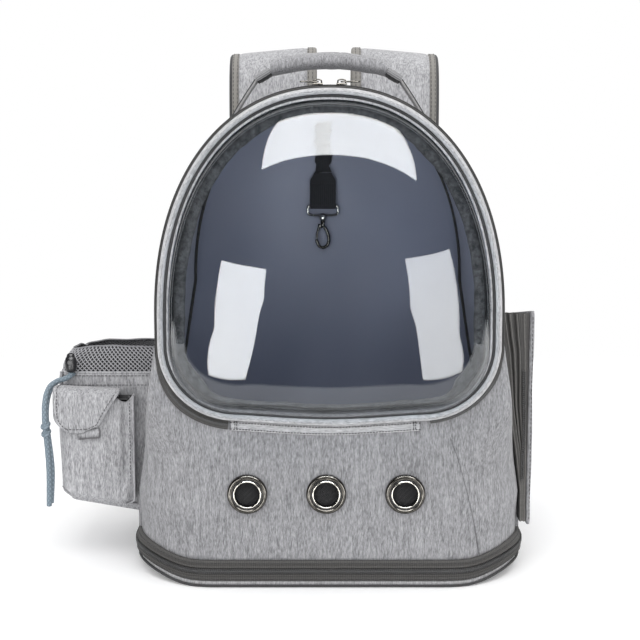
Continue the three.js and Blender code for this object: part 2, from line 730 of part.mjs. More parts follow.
function buildZips() {
  const group = new THREE.Group();
  const tapeTop = BODY_HEIGHT + RIM_CLEAR + GAP + TAPE_THICK;
  const middle = FRONT - RIM_DEPTH * 0.7 + (TAPE_WIDTH + 2) / 2;
  for (const [side, sign] of [["left", -1], ["right", 1]]) {
    const x = sign * SLIDER_X;
    const foot = tapeTop + GAP;
    const half = SLIDER_LENGTH / 2;
    const [near, far] = [middle - SLIDER_WIDTH / 2, middle + SLIDER_WIDTH / 2];
    const body = block([x - half, near, foot], [x + half, far, foot + SLIDER_PLATE]);
    const posts = [-1, 1].map((end) => x + end * (BRIDGE_HALF - BRIDGE_POST)).map((at) => block(
      [at - BRIDGE_POST, middle - BRIDGE_WIDTH, foot + SLIDER_PLATE * 0.75],
      [at + BRIDGE_POST, middle + BRIDGE_WIDTH, foot + BRIDGE_TOP - 0.2],
    ));
    const bridge = block(
      [x - BRIDGE_HALF, middle - BRIDGE_WIDTH, foot + BRIDGE_TOP - 1],
      [x + BRIDGE_HALF, middle + BRIDGE_WIDTH, foot + BRIDGE_TOP],
    );
    addMesh(group, `zip_slider_${side}`, join(body, ...posts, bridge), gunmetal);
    const level = foot + SLIDER_PLATE + 1;
    const pullRoot = x - sign * BRIDGE_WIDTH;
    const pullTip = x + sign * PULL_LENGTH;
    const tab = block(
      [Math.min(pullRoot, pullTip), middle - PULL_WIDTH / 2, level - PULL_THICK / 2],
      [Math.max(pullRoot, pullTip), middle + PULL_WIDTH / 2, level + PULL_THICK / 2],
    );
    const slotHalf = BRIDGE_WIDTH + 0.4;
    const slotEnd = x + sign * (BRIDGE_HALF + 1.3);
    const slot = block(
      [Math.min(x, slotEnd), middle - slotHalf, level - PULL_THICK],
      [Math.max(x, slotEnd), middle + slotHalf, level + PULL_THICK],
    );
    addMesh(group, `zip_pull_${side}`, cut(tab, slot), gunmetal);
  }
  return group;
}

// Handle

function buildHandle() {
  const group = new THREE.Group();
  const gripSlant = 0.14; // how far the grip's end faces lean, as a share of their height
  const cuffDrop = 3;
  const arch = [-1, -0.66, -0.33, 0, 0.33, 0.66, 1];
  const gripEnd = HANDLE_TOP - GRIP_DROP;
  addMesh(group, "handle_grip", bar(arch.map((share) => ({
    at: [share * GRIP_HALF, HANDLE_Y, HANDLE_TOP - GRIP_DROP * share * share],
    wide: [0, LEG_WIDTH / 2 + 3 * (1 - share * share), 0],
    thick: [gripSlant * GRIP_RADIUS * share, 0, GRIP_RADIUS],
  }))), heather);
  const near = [GRIP_HALF - gripSlant * cuffDrop + GAP * 1.4, gripEnd - cuffDrop];
  const far = [near[0] + CUFF_LENGTH, near[1] - CUFF_LENGTH * 0.55];
  const slope = [0.555, 0.832]; // across the webbing where it leaves the cuff
  for (const [side, sign] of [["left", -1], ["right", 1]]) {
    addMesh(group, `handle_cuff_${side}`, bar([
      {
        at: [sign * near[0], HANDLE_Y, near[1]],
        wide: [0, LEG_WIDTH / 2 + 2, 0],
        thick: [sign * gripSlant * CUFF_RADIUS, 0, CUFF_RADIUS],
      },
      {
        at: [sign * far[0], HANDLE_Y, far[1]],
        wide: [0, LEG_WIDTH / 2 + 2, 0],
        thick: [sign * slope[0] * CUFF_RADIUS, 0, slope[1] * CUFF_RADIUS],
      },
    ]), darkTape);
    const start = [far[0] + slope[1] * GAP * 1.4, far[1] - slope[0] * GAP * 1.4];
    const end = [LEG_FOOT_X, archHeight(LEG_FOOT_X) + 2.1];
    addMesh(group, `handle_strap_${side}`, bar([0, 0.5, 1].map((share) => ({
      at: [
        sign * THREE.MathUtils.lerp(start[0], end[0], share),
        HANDLE_Y,
        THREE.MathUtils.lerp(start[1], end[1], share) + 3 * Math.sin(Math.PI * share),
      ],
      wide: [0, LEG_WIDTH / 2, 0],
      thick: [(sign * slope[0] * WEBBING) / 2, 0, (slope[1] * WEBBING) / 2],
    }))), heather);
  }
  return group;
}

function archHeight(x) {
  const share = 1 - (Math.abs(x) / ARCH_HALF_WIDTH) ** ARCH_POWER;
  return SPRING_HEIGHT + (BODY_HEIGHT - SPRING_HEIGHT) * share ** (1 / ARCH_POWER);
}

// Shoulder straps, in the plane of depth and height. rise and back are shares of the strap's own rise
// above its foot on the back panel and of its stand-off behind the panel.

const STRAP_STATIONS = [
  { back: 0, rise: 0, roll: 0 },
  { back: 0.01, rise: 0.45, roll: 0.4 },
  { back: 0.09, rise: 0.8, roll: 0.8 },
  { back: 0.26, rise: 0.96, roll: 1 },
  { back: 0.5, rise: 1, roll: 1 },
  { back: 0.74, rise: 0.92, roll: 0.8 },
  { back: 0.91, rise: 0.66, roll: 0.5 },
  { back: 0.99, rise: 0.3, roll: 0.2 },
  { back: 1, rise: -0.5, roll: 0 },
  { back: 0.99, rise: -1.6, roll: 0 },
];

// The webbing from the adjuster down to the back panel, as shares of its way forward and of its way down.
const WEB_STATIONS = [
  { drop: 0, fall: 0 },
  { drop: 0.165, fall: 0.34 },
  { drop: 0.945, fall: 0.865 },
  { drop: 1, fall: 1 },
];

function buildStraps() {
  const group = new THREE.Group();
  const root = BACK + GAP + STRAP_THICK / 2;
  const footZ = archHeight(STRAP_X + STRAP_SHIFT) - STRAP_FOOT_DROP;
  for (const [side, sign] of [["left", -1], ["right", 1]]) {
    const x = sign * STRAP_X + STRAP_SHIFT;
    const half = STRAP_WIDTH / 2;
    const endY = root + STRAP_STAND_OFF;
    const line = STRAP_STATIONS.map(({ back, rise }) => [
      root + back * STRAP_STAND_OFF,
      footZ + rise * (STRAP_TOP - footZ),
    ]);
    const stations = STRAP_STATIONS.map(({ roll }, i) => {
      const before = line[Math.max(0, i - 1)];
      const after = line[Math.min(line.length - 1, i + 1)];
      const length = Math.hypot(after[0] - before[0], after[1] - before[1]);
      const across = [(after[1] - before[1]) / length, -(after[0] - before[0]) / length];
      return {
        at: [x, ...line[i]],
        wide: [half, 0, -sign * STRAP_TILT * roll],
        thick: [0, (across[0] * STRAP_THICK) / 2, (across[1] * STRAP_THICK) / 2],
      };
    });
    stations[0].thick = [0, STRAP_THICK / 2, 0];
    stations.push({
      at: [x, endY - 1, STRAP_END],
      wide: [half * 0.62, 0, 0],
      thick: [0, -STRAP_THICK / 2, 0],
    });
    addMesh(group, `shoulder_strap_${side}`, bar(stations), heather);
    const lockTop = STRAP_END - GAP;
    const lockFoot = lockTop - ADJUSTER_HEIGHT;
    const lock = block([x - ADJUSTER_HALF, endY - 4, lockFoot], [x + ADJUSTER_HALF, endY + 2, lockTop]);
    const slots = [0.2, 0.6].map((share) => {
      const z = lockFoot + share * ADJUSTER_HEIGHT;
      return block([x - ADJUSTER_SLOT, endY - 8, z], [x + ADJUSTER_SLOT, endY + 6, z + ADJUSTER_HEIGHT / 5]);
    });
    addMesh(group, `strap_adjuster_${side}`, cut(lock, ...slots), blackWebbing);
    const anchorY = BACK + GAP + WEBBING / 2;
    const webTop = lockFoot - GAP;
    addMesh(group, `strap_webbing_${side}`, bar(WEB_STATIONS.map(({ drop, fall }) => ({
      at: [
        x,
        THREE.MathUtils.lerp(endY - 1, anchorY, drop),
        THREE.MathUtils.lerp(webTop, ANCHOR_Z, fall),
      ],
      wide: [WEB_WIDTH / 2, 0, 0],
      thick: [0, WEBBING / 2, 0],
    }))), blackWebbing);
    addMesh(group, `strap_anchor_${side}`, bar([
      { at: [x, anchorY, ANCHOR_Z - GAP], wide: [20, 0, 0], thick: [0, WEBBING / 2, 0] },
      { at: [x, anchorY, ANCHOR_Z - 26], wide: [26, 0, 0], thick: [0, WEBBING / 2, 0] },
    ]), heather);
  }
  return group;
}

// Left pockets

// A rounded plan between the body's side and the pocket's outer side, drawn in by inset.
function pocketRing(z, inset, bulge = 0) {
  const inner = -(sideHalfWidth(z) + SIDE_CLEAR) - inset;
  const outer = -POCKET_OUT - bulge + inset;
  const [front, back] = [POCKET_FRONT - bulge + inset, POCKET_BACK - inset];
  const r = POCKET_CORNER - inset;
  const corner = (cx, cy, from) =>
    [0, 0.5, 1].map((t) => {
      const a = from + (t * Math.PI) / 2;
      return new THREE.Vector3(cx + r * Math.cos(a), cy + r * Math.sin(a), z);
    });
  return [
    new THREE.Vector3(inner, front, z),
    new THREE.Vector3(inner, back, z),
    ...corner(outer + r, back - r, Math.PI / 2),
    ...corner(outer + r, front + r, Math.PI),
  ];
}

function bottlePocket() {
  const height = POCKET_TOP - POCKET_FOOT;
  const levels = [
    { share: 0, inset: 6, bulge: 0 },
    { share: 0.05, inset: 0, bulge: 0 },
    { share: (FLARE_HEIGHT - POCKET_FOOT) / height, inset: 0, bulge: 2 },
    { share: 0.55, inset: 0, bulge: 3 },
    { share: 1, inset: 0, bulge: 0 },
  ];
  const rings = (wall, foot) =>
    levels.map(({ share, inset, bulge }) =>
      pocketRing(POCKET_FOOT + foot + share * (height - foot + wall), inset + wall, bulge));
  return cut(loft(rings(0, 0)), loft(rings(POCKET_WALL, POCKET_WALL)));
}

function pocketMesh() {
  const rings = (wall, below, above) => [
    pocketRing(POCKET_TOP + GAP - below, 1.5 + wall),
    pocketRing((POCKET_TOP + COLLAR_TOP) / 2, 2 + wall, 1),
    pocketRing(COLLAR_TOP + above, 8 + wall),
  ];
  return cut(loft(rings(0, 0, 0)), loft(rings(2, 1, 1)));
}

function flapPocket() {
  const face = POCKET_FRONT - 3 - GAP;
  const outline = (inset, y) => [
    [FLAP_POCKET_LEFT + inset, FLAP_POCKET_FOOT + 5],
    [FLAP_POCKET_LEFT + inset, FLAP_POCKET_TOP],
    [FLAP_POCKET_RIGHT - inset, FLAP_POCKET_TOP],
    [FLAP_POCKET_RIGHT - inset, FLAP_POCKET_FOOT + 5 + inset],
    [FLAP_POCKET_RIGHT - 8 - inset, FLAP_POCKET_FOOT + inset],
    [FLAP_POCKET_LEFT + 8 + inset, FLAP_POCKET_FOOT + inset],
  ].map(([x, z]) => new THREE.Vector3(x, y, z));
  const shellOf = loft([
    outline(0, face),
    outline(0, face - FLAP_POCKET_PROUD + 4),
    outline(4, face - FLAP_POCKET_PROUD),
  ]);
  const room = block(
    [
      FLAP_POCKET_LEFT + POCKET_WALL + 4,
      face - FLAP_POCKET_PROUD + POCKET_WALL,
      FLAP_POCKET_FOOT + POCKET_WALL + 6,
    ],
    [FLAP_POCKET_RIGHT - POCKET_WALL - 4, face - POCKET_WALL, FLAP_POCKET_TOP + 10],
  );
  return cut(shellOf, room);
}

// The flap hangs over the flap pocket's mouth, its crease along the pocket's front.
function pocketFlap() {
  const back = POCKET_FRONT - 3 - GAP;
  const front = back - FLAP_POCKET_PROUD - GAP - COVER_THICK / 2;
  const middle = (COVER_LEFT + COVER_RIGHT) / 2;
  const half = (COVER_RIGHT - COVER_LEFT) / 2;
  const top = COVER_TOP - COVER_THICK / 2;
  return bar([
    {
      at: [middle, back - COVER_THICK / 2, FLAP_POCKET_TOP + GAP + 4],
      wide: [half - 4, 0, 0],
      thick: [0, COVER_THICK / 2, 0],
    },
    {
      at: [middle, back - 4, top],
      wide: [half - 3, 0, 0],
      thick: [0, COVER_THICK * 0.4, COVER_THICK * 0.4],
    },
    { at: [middle, front + 6, top], wide: [half, 0, 0], thick: [0, -COVER_THICK * 0.2, COVER_THICK / 2] },
    { at: [middle, front, top - 8], wide: [half, 0, 0], thick: [0, -COVER_THICK / 2, 0] },
    { at: [middle, front, COVER_FOOT + 8], wide: [half, 0, 0], thick: [0, -COVER_THICK / 2, 0] },
    { at: [middle - 1, front, COVER_FOOT], wide: [half - 5, 0, 0], thick: [0, -COVER_THICK / 2, 0] },
  ]);
}

// The drawcord's route from the cord lock to its free end, chosen by hand. x is from the pocket's outer side.
const CORD_ROUTE = [
  [12, -64.5, 174], [11.4, -64.8, 171.2], [6.5, -66, 168.4], [0, -68.2, 166.8], [-6, -72, 162.6],
  [-8.6, -76.5, 156], [-9.4, -80.5, 148], [-9.2, -83.5, 139], [-8.6, -85, 130], [-7.8, -85.6, 121],
  [-7, -86, 112], [-6.4, -86, 103], [-6, -86, 94], [-5.8, -86, 85], [-5.9, -86, 76], [-6.1, -86, 67],
  [-6.3, -86, 59], [-6.4, -86, 55],
].map(([x, y, z]) => [x - POCKET_OUT, y, z]);

function buildPockets() {
  const group = new THREE.Group();
  addMesh(group, "bottle_pocket", bottlePocket(), paleHeather);
  addMesh(group, "pocket_mesh", pocketMesh(), blackWebbing);
  addMesh(group, "flap_pocket", flapPocket(), paleHeather);
  addMesh(group, "pocket_flap", pocketFlap(), paleHeather);
  const [lockX, lockY, lockZ] = CORD_ROUTE[0];
  const foot = lockZ + 2.5 * GAP;
  const lock = new THREE.LatheGeometry([
    new THREE.Vector2(0, 0),
    new THREE.Vector2(LOCK_RADIUS * 0.8, 0),
    new THREE.Vector2(LOCK_RADIUS, LOCK_HEIGHT * 0.25),
    new THREE.Vector2(LOCK_RADIUS, LOCK_HEIGHT * 0.7),
    new THREE.Vector2(LOCK_RADIUS * 0.6, LOCK_HEIGHT),
    new THREE.Vector2(0, LOCK_HEIGHT),
  ], 12);
  lock.rotateX(Math.PI / 2);
  lock.translate(lockX, lockY, foot);
  addMesh(group, "cord_lock", lock, blackWebbing);
  addMesh(group, "drawcord", wire(CORD_ROUTE, CORD_RADIUS, { sides: 8, steps: 22 }), finish(0x7f95a6, 0.9));
  return group;
}

// Right expansion, folded flat against the body's side

const FOLDS = [
  { share: 0, back: 3 },
  { share: 0.12, back: 0 },
  { share: 0.3, back: 0.5 },
  { share: 0.38, back: 3.5 },
  { share: 0.46, back: 0.8 },
  { share: 0.58, back: 3.5 },
  { share: 0.66, back: 0.8 },
  { share: 1, back: 0 },
];

// The height of a point of the wing: a ring near its top slopes down to the back.
function wingHeight(z, y) {
  return z < SIDE_TOP - 5 ? z : z - SIDE_DROP * (y - SIDE_FRONT) / (SIDE_BACK - SIDE_FRONT);
}

function buildExpansion() {
  const group = new THREE.Group();
  const levels = [SIDE_FOOT, FLARE_HEIGHT, (FLARE_HEIGHT + SIDE_TOP) / 2, SIDE_TOP];
  const outer = SIDE_OUT - SIDE_PLATE;
  const folds = levels.map((z) => {
    const at = (share, y) => {
      const height = wingHeight(z, y);
      const inner = sideHalfWidth(height) + SIDE_CLEAR;
      return new THREE.Vector3(THREE.MathUtils.lerp(inner, outer - GAP, share), y, height);
    };
    return [...FOLDS.map(({ share, back }) => at(share, SIDE_FRONT + back)), at(1, SIDE_BACK), at(0, SIDE_BACK)];
  });
  addMesh(group, "side_folds", loft(folds), darkTape);
  addMesh(group, "side_panel", loft([SIDE_FOOT - 2, SIDE_FOOT + 4, SIDE_TOP - 4, SIDE_TOP + 2].map((z, i) => {
    const trim = i === 0 || i === 3 ? 1.2 : 0;
    const corner = (x, y) => new THREE.Vector3(x, y, wingHeight(z, y));
    return [
      corner(outer + trim * 0.5, SIDE_FRONT - 1 + trim),
      corner(SIDE_OUT - 1 - trim * 0.5, SIDE_FRONT - 1 + trim),
      corner(SIDE_OUT - trim * 0.5, SIDE_FRONT + 2),
      corner(SIDE_OUT - trim * 0.5, SIDE_BACK),
      corner(outer + trim * 0.5, SIDE_BACK),
    ];
  })), heather);
  const chainX = THREE.MathUtils.lerp(sideHalfWidth(SIDE_FOOT), outer, 0.5);
  addMesh(group, "side_chain", block(
    [chainX - SIDE_CHAIN_HALF, SIDE_FRONT - GAP - CHAIN_PROUD, SIDE_FOOT + SIDE_CHAIN_FOOT],
    [chainX + SIDE_CHAIN_HALF, SIDE_FRONT - GAP, SIDE_TOP - SIDE_CHAIN_TOP],
  ), gunmetal);
  return group;
}

// Leash

function buildLeash() {
  const group = new THREE.Group();
  const y = CABIN_BACK - HOOK_HALF_WIDTH - HOOK_WIRE - HOOK_CLEAR; // the hook swivels clear of the wall
  const wallY = CABIN_BACK - GAP - (TAB_THICK / 2) * 0.65;
  const ruffles = 9;
  addMesh(group, "leash_webbing", bar(Array.from({ length: ruffles }, (_, i) => ({
    at: [
      LEASH_X + (i % 2 ? 0.7 : -0.7),
      THREE.MathUtils.lerp(wallY, y, i / (ruffles - 1)),
      THREE.MathUtils.lerp(LEASH_TOP, LEASH_KNOT + GAP, i / (ruffles - 1)),
    ],
    wide: [(LEASH_WIDTH / 2) * (i % 2 ? 1 : 0.8), 0, 0],
    thick: [0, (TAB_THICK / 2) * (i % 2 ? 1 : 0.65), 0],
  }))), blackWebbing);
  const tab = block(
    [LEASH_X - TAB_WIDTH / 2, y - TAB_THICK / 2, TAB_FOOT],
    [LEASH_X + TAB_WIDTH / 2, y + TAB_THICK / 2, LEASH_KNOT],
  );
  const slotHalf = RING_WIRE + GAP;
  const slot = block(
    [LEASH_X - TAB_WIDTH, y - slotHalf, TAB_FOOT + 1.4],
    [LEASH_X + TAB_WIDTH, y + slotHalf, RING_TOP + 1.9],
  );
  addMesh(group, "leash_tab", cut(tab, slot), blackWebbing);

  const middle = (RING_TOP + RING_FOOT) / 2;
  const halfHeight = (RING_TOP - RING_FOOT) / 2;
  const oval = Array.from({ length: 24 }, (_, i) => {
    const a = (i / 24) * 2 * Math.PI;
    const round = (value) => Math.sign(value) * Math.abs(value) ** 0.42;
    return { x: RING_HALF_WIDTH * round(Math.cos(a)), z: halfHeight * round(Math.sin(a)) };
  });
  const ring = loft(oval.map(({ x, z }, i) => {
    const [before, after] = [oval[(i + 23) % 24], oval[(i + 1) % 24]];
    const length = Math.hypot(after.x - before.x, after.z - before.z);
    const [nx, nz] = [(after.z - before.z) / length, -(after.x - before.x) / length];
    return Array.from({ length: 6 }, (_, k) => {
      const a = (k / 6) * 2 * Math.PI;
      const out = RING_WIRE * Math.cos(a);
      return new THREE.Vector3(LEASH_X + x + nx * out, y + RING_WIRE * Math.sin(a), middle + z + nz * out);
    });
  }), { closed: true });
  const bossFoot = RING_FOOT - 5.5;
  const pinTop = RING_FOOT - 2;
  const boss = new THREE.LatheGeometry([
    new THREE.Vector2(0, pinTop + GAP),
    new THREE.Vector2(PIN_RADIUS + GAP, pinTop + GAP),
    new THREE.Vector2(PIN_RADIUS + GAP, bossFoot),
    new THREE.Vector2(BOSS_RADIUS * 0.85, bossFoot),
    new THREE.Vector2(BOSS_RADIUS, bossFoot + 2),
    new THREE.Vector2(BOSS_RADIUS * 0.9, RING_FOOT),
    new THREE.Vector2(2, RING_FOOT + 1.8),
    new THREE.Vector2(0, RING_FOOT + 2),
  ], 12).rotateX(Math.PI / 2).translate(LEASH_X, y, 0);
  addMesh(group, "swivel_eye", join(ring, boss), gunmetal);

  const hookTop = bossFoot - GAP;
  const neck = new THREE.LatheGeometry([
    new THREE.Vector2(0, hookTop - 6),
    new THREE.Vector2(2.2, hookTop - 6),
    new THREE.Vector2(2.6, hookTop),
    new THREE.Vector2(PIN_RADIUS, hookTop),
    new THREE.Vector2(PIN_RADIUS, pinTop),
    new THREE.Vector2(0, pinTop),
  ], 12).rotateX(Math.PI / 2).translate(LEASH_X, y, 0);
  const shoulder = hookTop - 5;
  const w = HOOK_HALF_WIDTH;
  const h = HOOK_LENGTH;
  const bend = wire([
    [LEASH_X + 0.2, y, shoulder],
    [LEASH_X + w * 0.55, y, shoulder - h * 0.16],
    [LEASH_X + w * 0.95, y, shoulder - h * 0.45],
    [LEASH_X + w, y, shoulder - h * 0.68],
    [LEASH_X + w * 0.62, y, shoulder - h * 0.88],
    [LEASH_X, y, shoulder - h * 0.96],
    [LEASH_X - w * 0.62, y, shoulder - h * 0.88],
    [LEASH_X - w, y, shoulder - h * 0.68],
    [LEASH_X - w * 1.02, y, shoulder - h * 0.58],
  ], HOOK_WIRE, { sides: 6, steps: 16 });
  const pivotZ = shoulder - h * 0.07;
  const ears = [-1, 1].map((side) => {
    const inside = y + side * (GATE_WIRE + GAP);
    const outside = inside + side * EAR_THICK;
    return block(
      [LEASH_X - GATE_PIVOT_X - GATE_WIRE, Math.min(inside, outside), pivotZ - GATE_WIRE],
      [LEASH_X - 1, Math.max(inside, outside), hookTop - 3],
    );
  });
  addMesh(group, "snap_hook", join(neck, bend, ...ears), gunmetal);
  addMesh(group, "snap_gate", wire([
    [LEASH_X - GATE_PIVOT_X, y, pivotZ],
    [LEASH_X - w * 0.95, y, shoulder - h * 0.3],
    [LEASH_X - w * 1.02, y, shoulder - h * 0.56 + GAP],
  ], GATE_WIRE, { sides: 6, steps: 4 }), gunmetal);
  return group;
}

part.add(
  buildBody(),
  buildVents(),
  buildDoor(),
  buildZips(),
  buildHandle(),
  buildStraps(),
  buildPockets(),
  buildExpansion(),
  buildLeash(),
);

export default part;
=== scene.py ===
"""Bubble pet carrier backpack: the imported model's soft and hard pieces, dressed for the render.

Sizes are in millimetres in the row frame (+X to the viewer's right, +Y from the door to the wearer's back,
+Z up) and become metres where a mesh is made.
"""

import logging
import math
from collections.abc import Callable, Sequence
from dataclasses import dataclass, field
from enum import Enum

import bmesh
import bpy
from mathutils import Matrix, Vector, noise

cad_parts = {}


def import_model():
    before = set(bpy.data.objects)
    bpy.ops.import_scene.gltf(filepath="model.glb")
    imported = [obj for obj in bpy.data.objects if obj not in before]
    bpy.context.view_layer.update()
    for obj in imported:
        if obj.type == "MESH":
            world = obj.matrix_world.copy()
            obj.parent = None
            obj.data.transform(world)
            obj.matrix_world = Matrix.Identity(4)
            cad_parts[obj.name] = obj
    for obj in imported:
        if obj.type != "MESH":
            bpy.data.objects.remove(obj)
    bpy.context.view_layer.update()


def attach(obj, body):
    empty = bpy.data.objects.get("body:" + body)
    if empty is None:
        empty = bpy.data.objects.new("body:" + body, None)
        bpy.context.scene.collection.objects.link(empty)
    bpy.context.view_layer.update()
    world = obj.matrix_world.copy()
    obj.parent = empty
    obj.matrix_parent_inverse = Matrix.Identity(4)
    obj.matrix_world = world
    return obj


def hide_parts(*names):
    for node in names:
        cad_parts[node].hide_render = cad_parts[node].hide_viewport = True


LOG = logging.getLogger("carrier")
MM = 0.001

Row = list[Vector]
Profile = tuple[tuple[float, float], ...]
Tree = bpy.types.NodeTree
Socket = bpy.types.NodeSocket


# Small tools


def linear(hex_colour: str) -> tuple[float, float, float, float]:
    """Turn an sRGB hex colour into linear values.

    Args:
        hex_colour: six hex digits.

    Returns:
        Linear red, green, blue and an alpha of one.
    """
    channels = [int(hex_colour[i : i + 2], 16) / 255 for i in (0, 2, 4)]
    lit = [c / 12.92 if c <= 0.04045 else ((c + 0.055) / 1.055) ** 2.4 for c in channels]
    return (lit[0], lit[1], lit[2], 1.0)


def clamp(value: float, low: float = 0.0, high: float = 1.0) -> float:
    """Keep a value between two limits."""
    return max(low, min(high, value))


def smooth(value: float) -> float:
    """Ease from 0 to 1 as value goes from 0 to 1."""
    t = clamp(value)
    return t * t * (3 - 2 * t)


def bump(away: float, width: float) -> float:
    """A smooth hill of height one about zero."""
    return math.exp(-((away / width) ** 2))


def squared(value: float, power: float) -> float:
    """Bend a cosine or sine towards a box: the lower the power, the squarer."""
    return math.copysign(abs(value) ** power, value)


def circle(count: int) -> list[tuple[float, float]]:
    """Cosine and sine of even turns round a circle."""
    return [(math.cos(a), math.sin(a)) for a in (2 * math.pi * k / count for k in range(count))]


def quarter(steps: int) -> list[tuple[float, float]]:
    """How far over and how far in a quarter turn has come at each of its steps."""
    return [(math.sin(a), 1 - math.cos(a)) for a in spread(0, math.pi / 2, steps + 1)[1:]]


def mix(start: float, end: float, share: float) -> float:
    """Go from start to end by a share."""
    return start + (end - start) * share


def spread(start: float, end: float, count: int) -> list[float]:
    """Even stops from start to end, both included."""
    return [mix(start, end, i / (count - 1)) for i in range(count)]


def ripple(point: Vector, size: float, seed: float = 0.0) -> float:
    """Smooth noise in -1 to 1 over the given size in millimetres."""
    return noise.noise(point / size + Vector((seed, -seed, seed * 0.5)))


def along(table: Sequence[tuple[float, float]], at: float) -> float:
    """Read a table of stops and values, with eased steps between them.

    Args:
        table: pairs of a stop and its value, by rising stop.
        at: where to read.

    Returns:
        The value there.
    """
    if at <= table[0][0]:
        return table[0][1]
    for (a, low), (b, high) in zip(table, table[1:]):
        if at <= b:
            return mix(low, high, smooth((at - a) / (b - a)))
    return table[-1][1]


def rail(points: Sequence[Vector], steps: int, closed: bool = False) -> Row:
    """Even points on a Catmull-Rom curve through the given ones.

    Args:
        points: what the curve passes through.
        steps: points for each span.
        closed: whether it comes back to its start.

    Returns:
        The points, without a repeated last one when closed.
    """
    count = len(points)
    spans = count if closed else count - 1
    line: Row = []
    for i in range(spans):
        if closed:
            a, b, c, d = (points[(i + k - 1) % count] for k in range(4))
        else:
            a, b = points[max(i - 1, 0)], points[i]
            c, d = points[i + 1], points[min(i + 2, count - 1)]
        for j in range(steps):
            t = j / steps
            line.append(
                0.5 * (2 * b + (c - a) * t + (2 * a - 5 * b + 4 * c - d) * t * t
                       + (3 * b - a - 3 * c + d) * t * t * t)
            )
    if not closed:
        line.append(points[-1].copy())
    return line


def tangents(line: Sequence[Vector], closed: bool = False) -> Row:
    """Unit directions along a line."""
    count = len(line)
    result: Row = []
    for i in range(count):
        before = line[(i - 1) % count] if closed else line[max(i - 1, 0)]
        after = line[(i + 1) % count] if closed else line[min(i + 1, count - 1)]
        result.append((after - before).normalized())
    return result


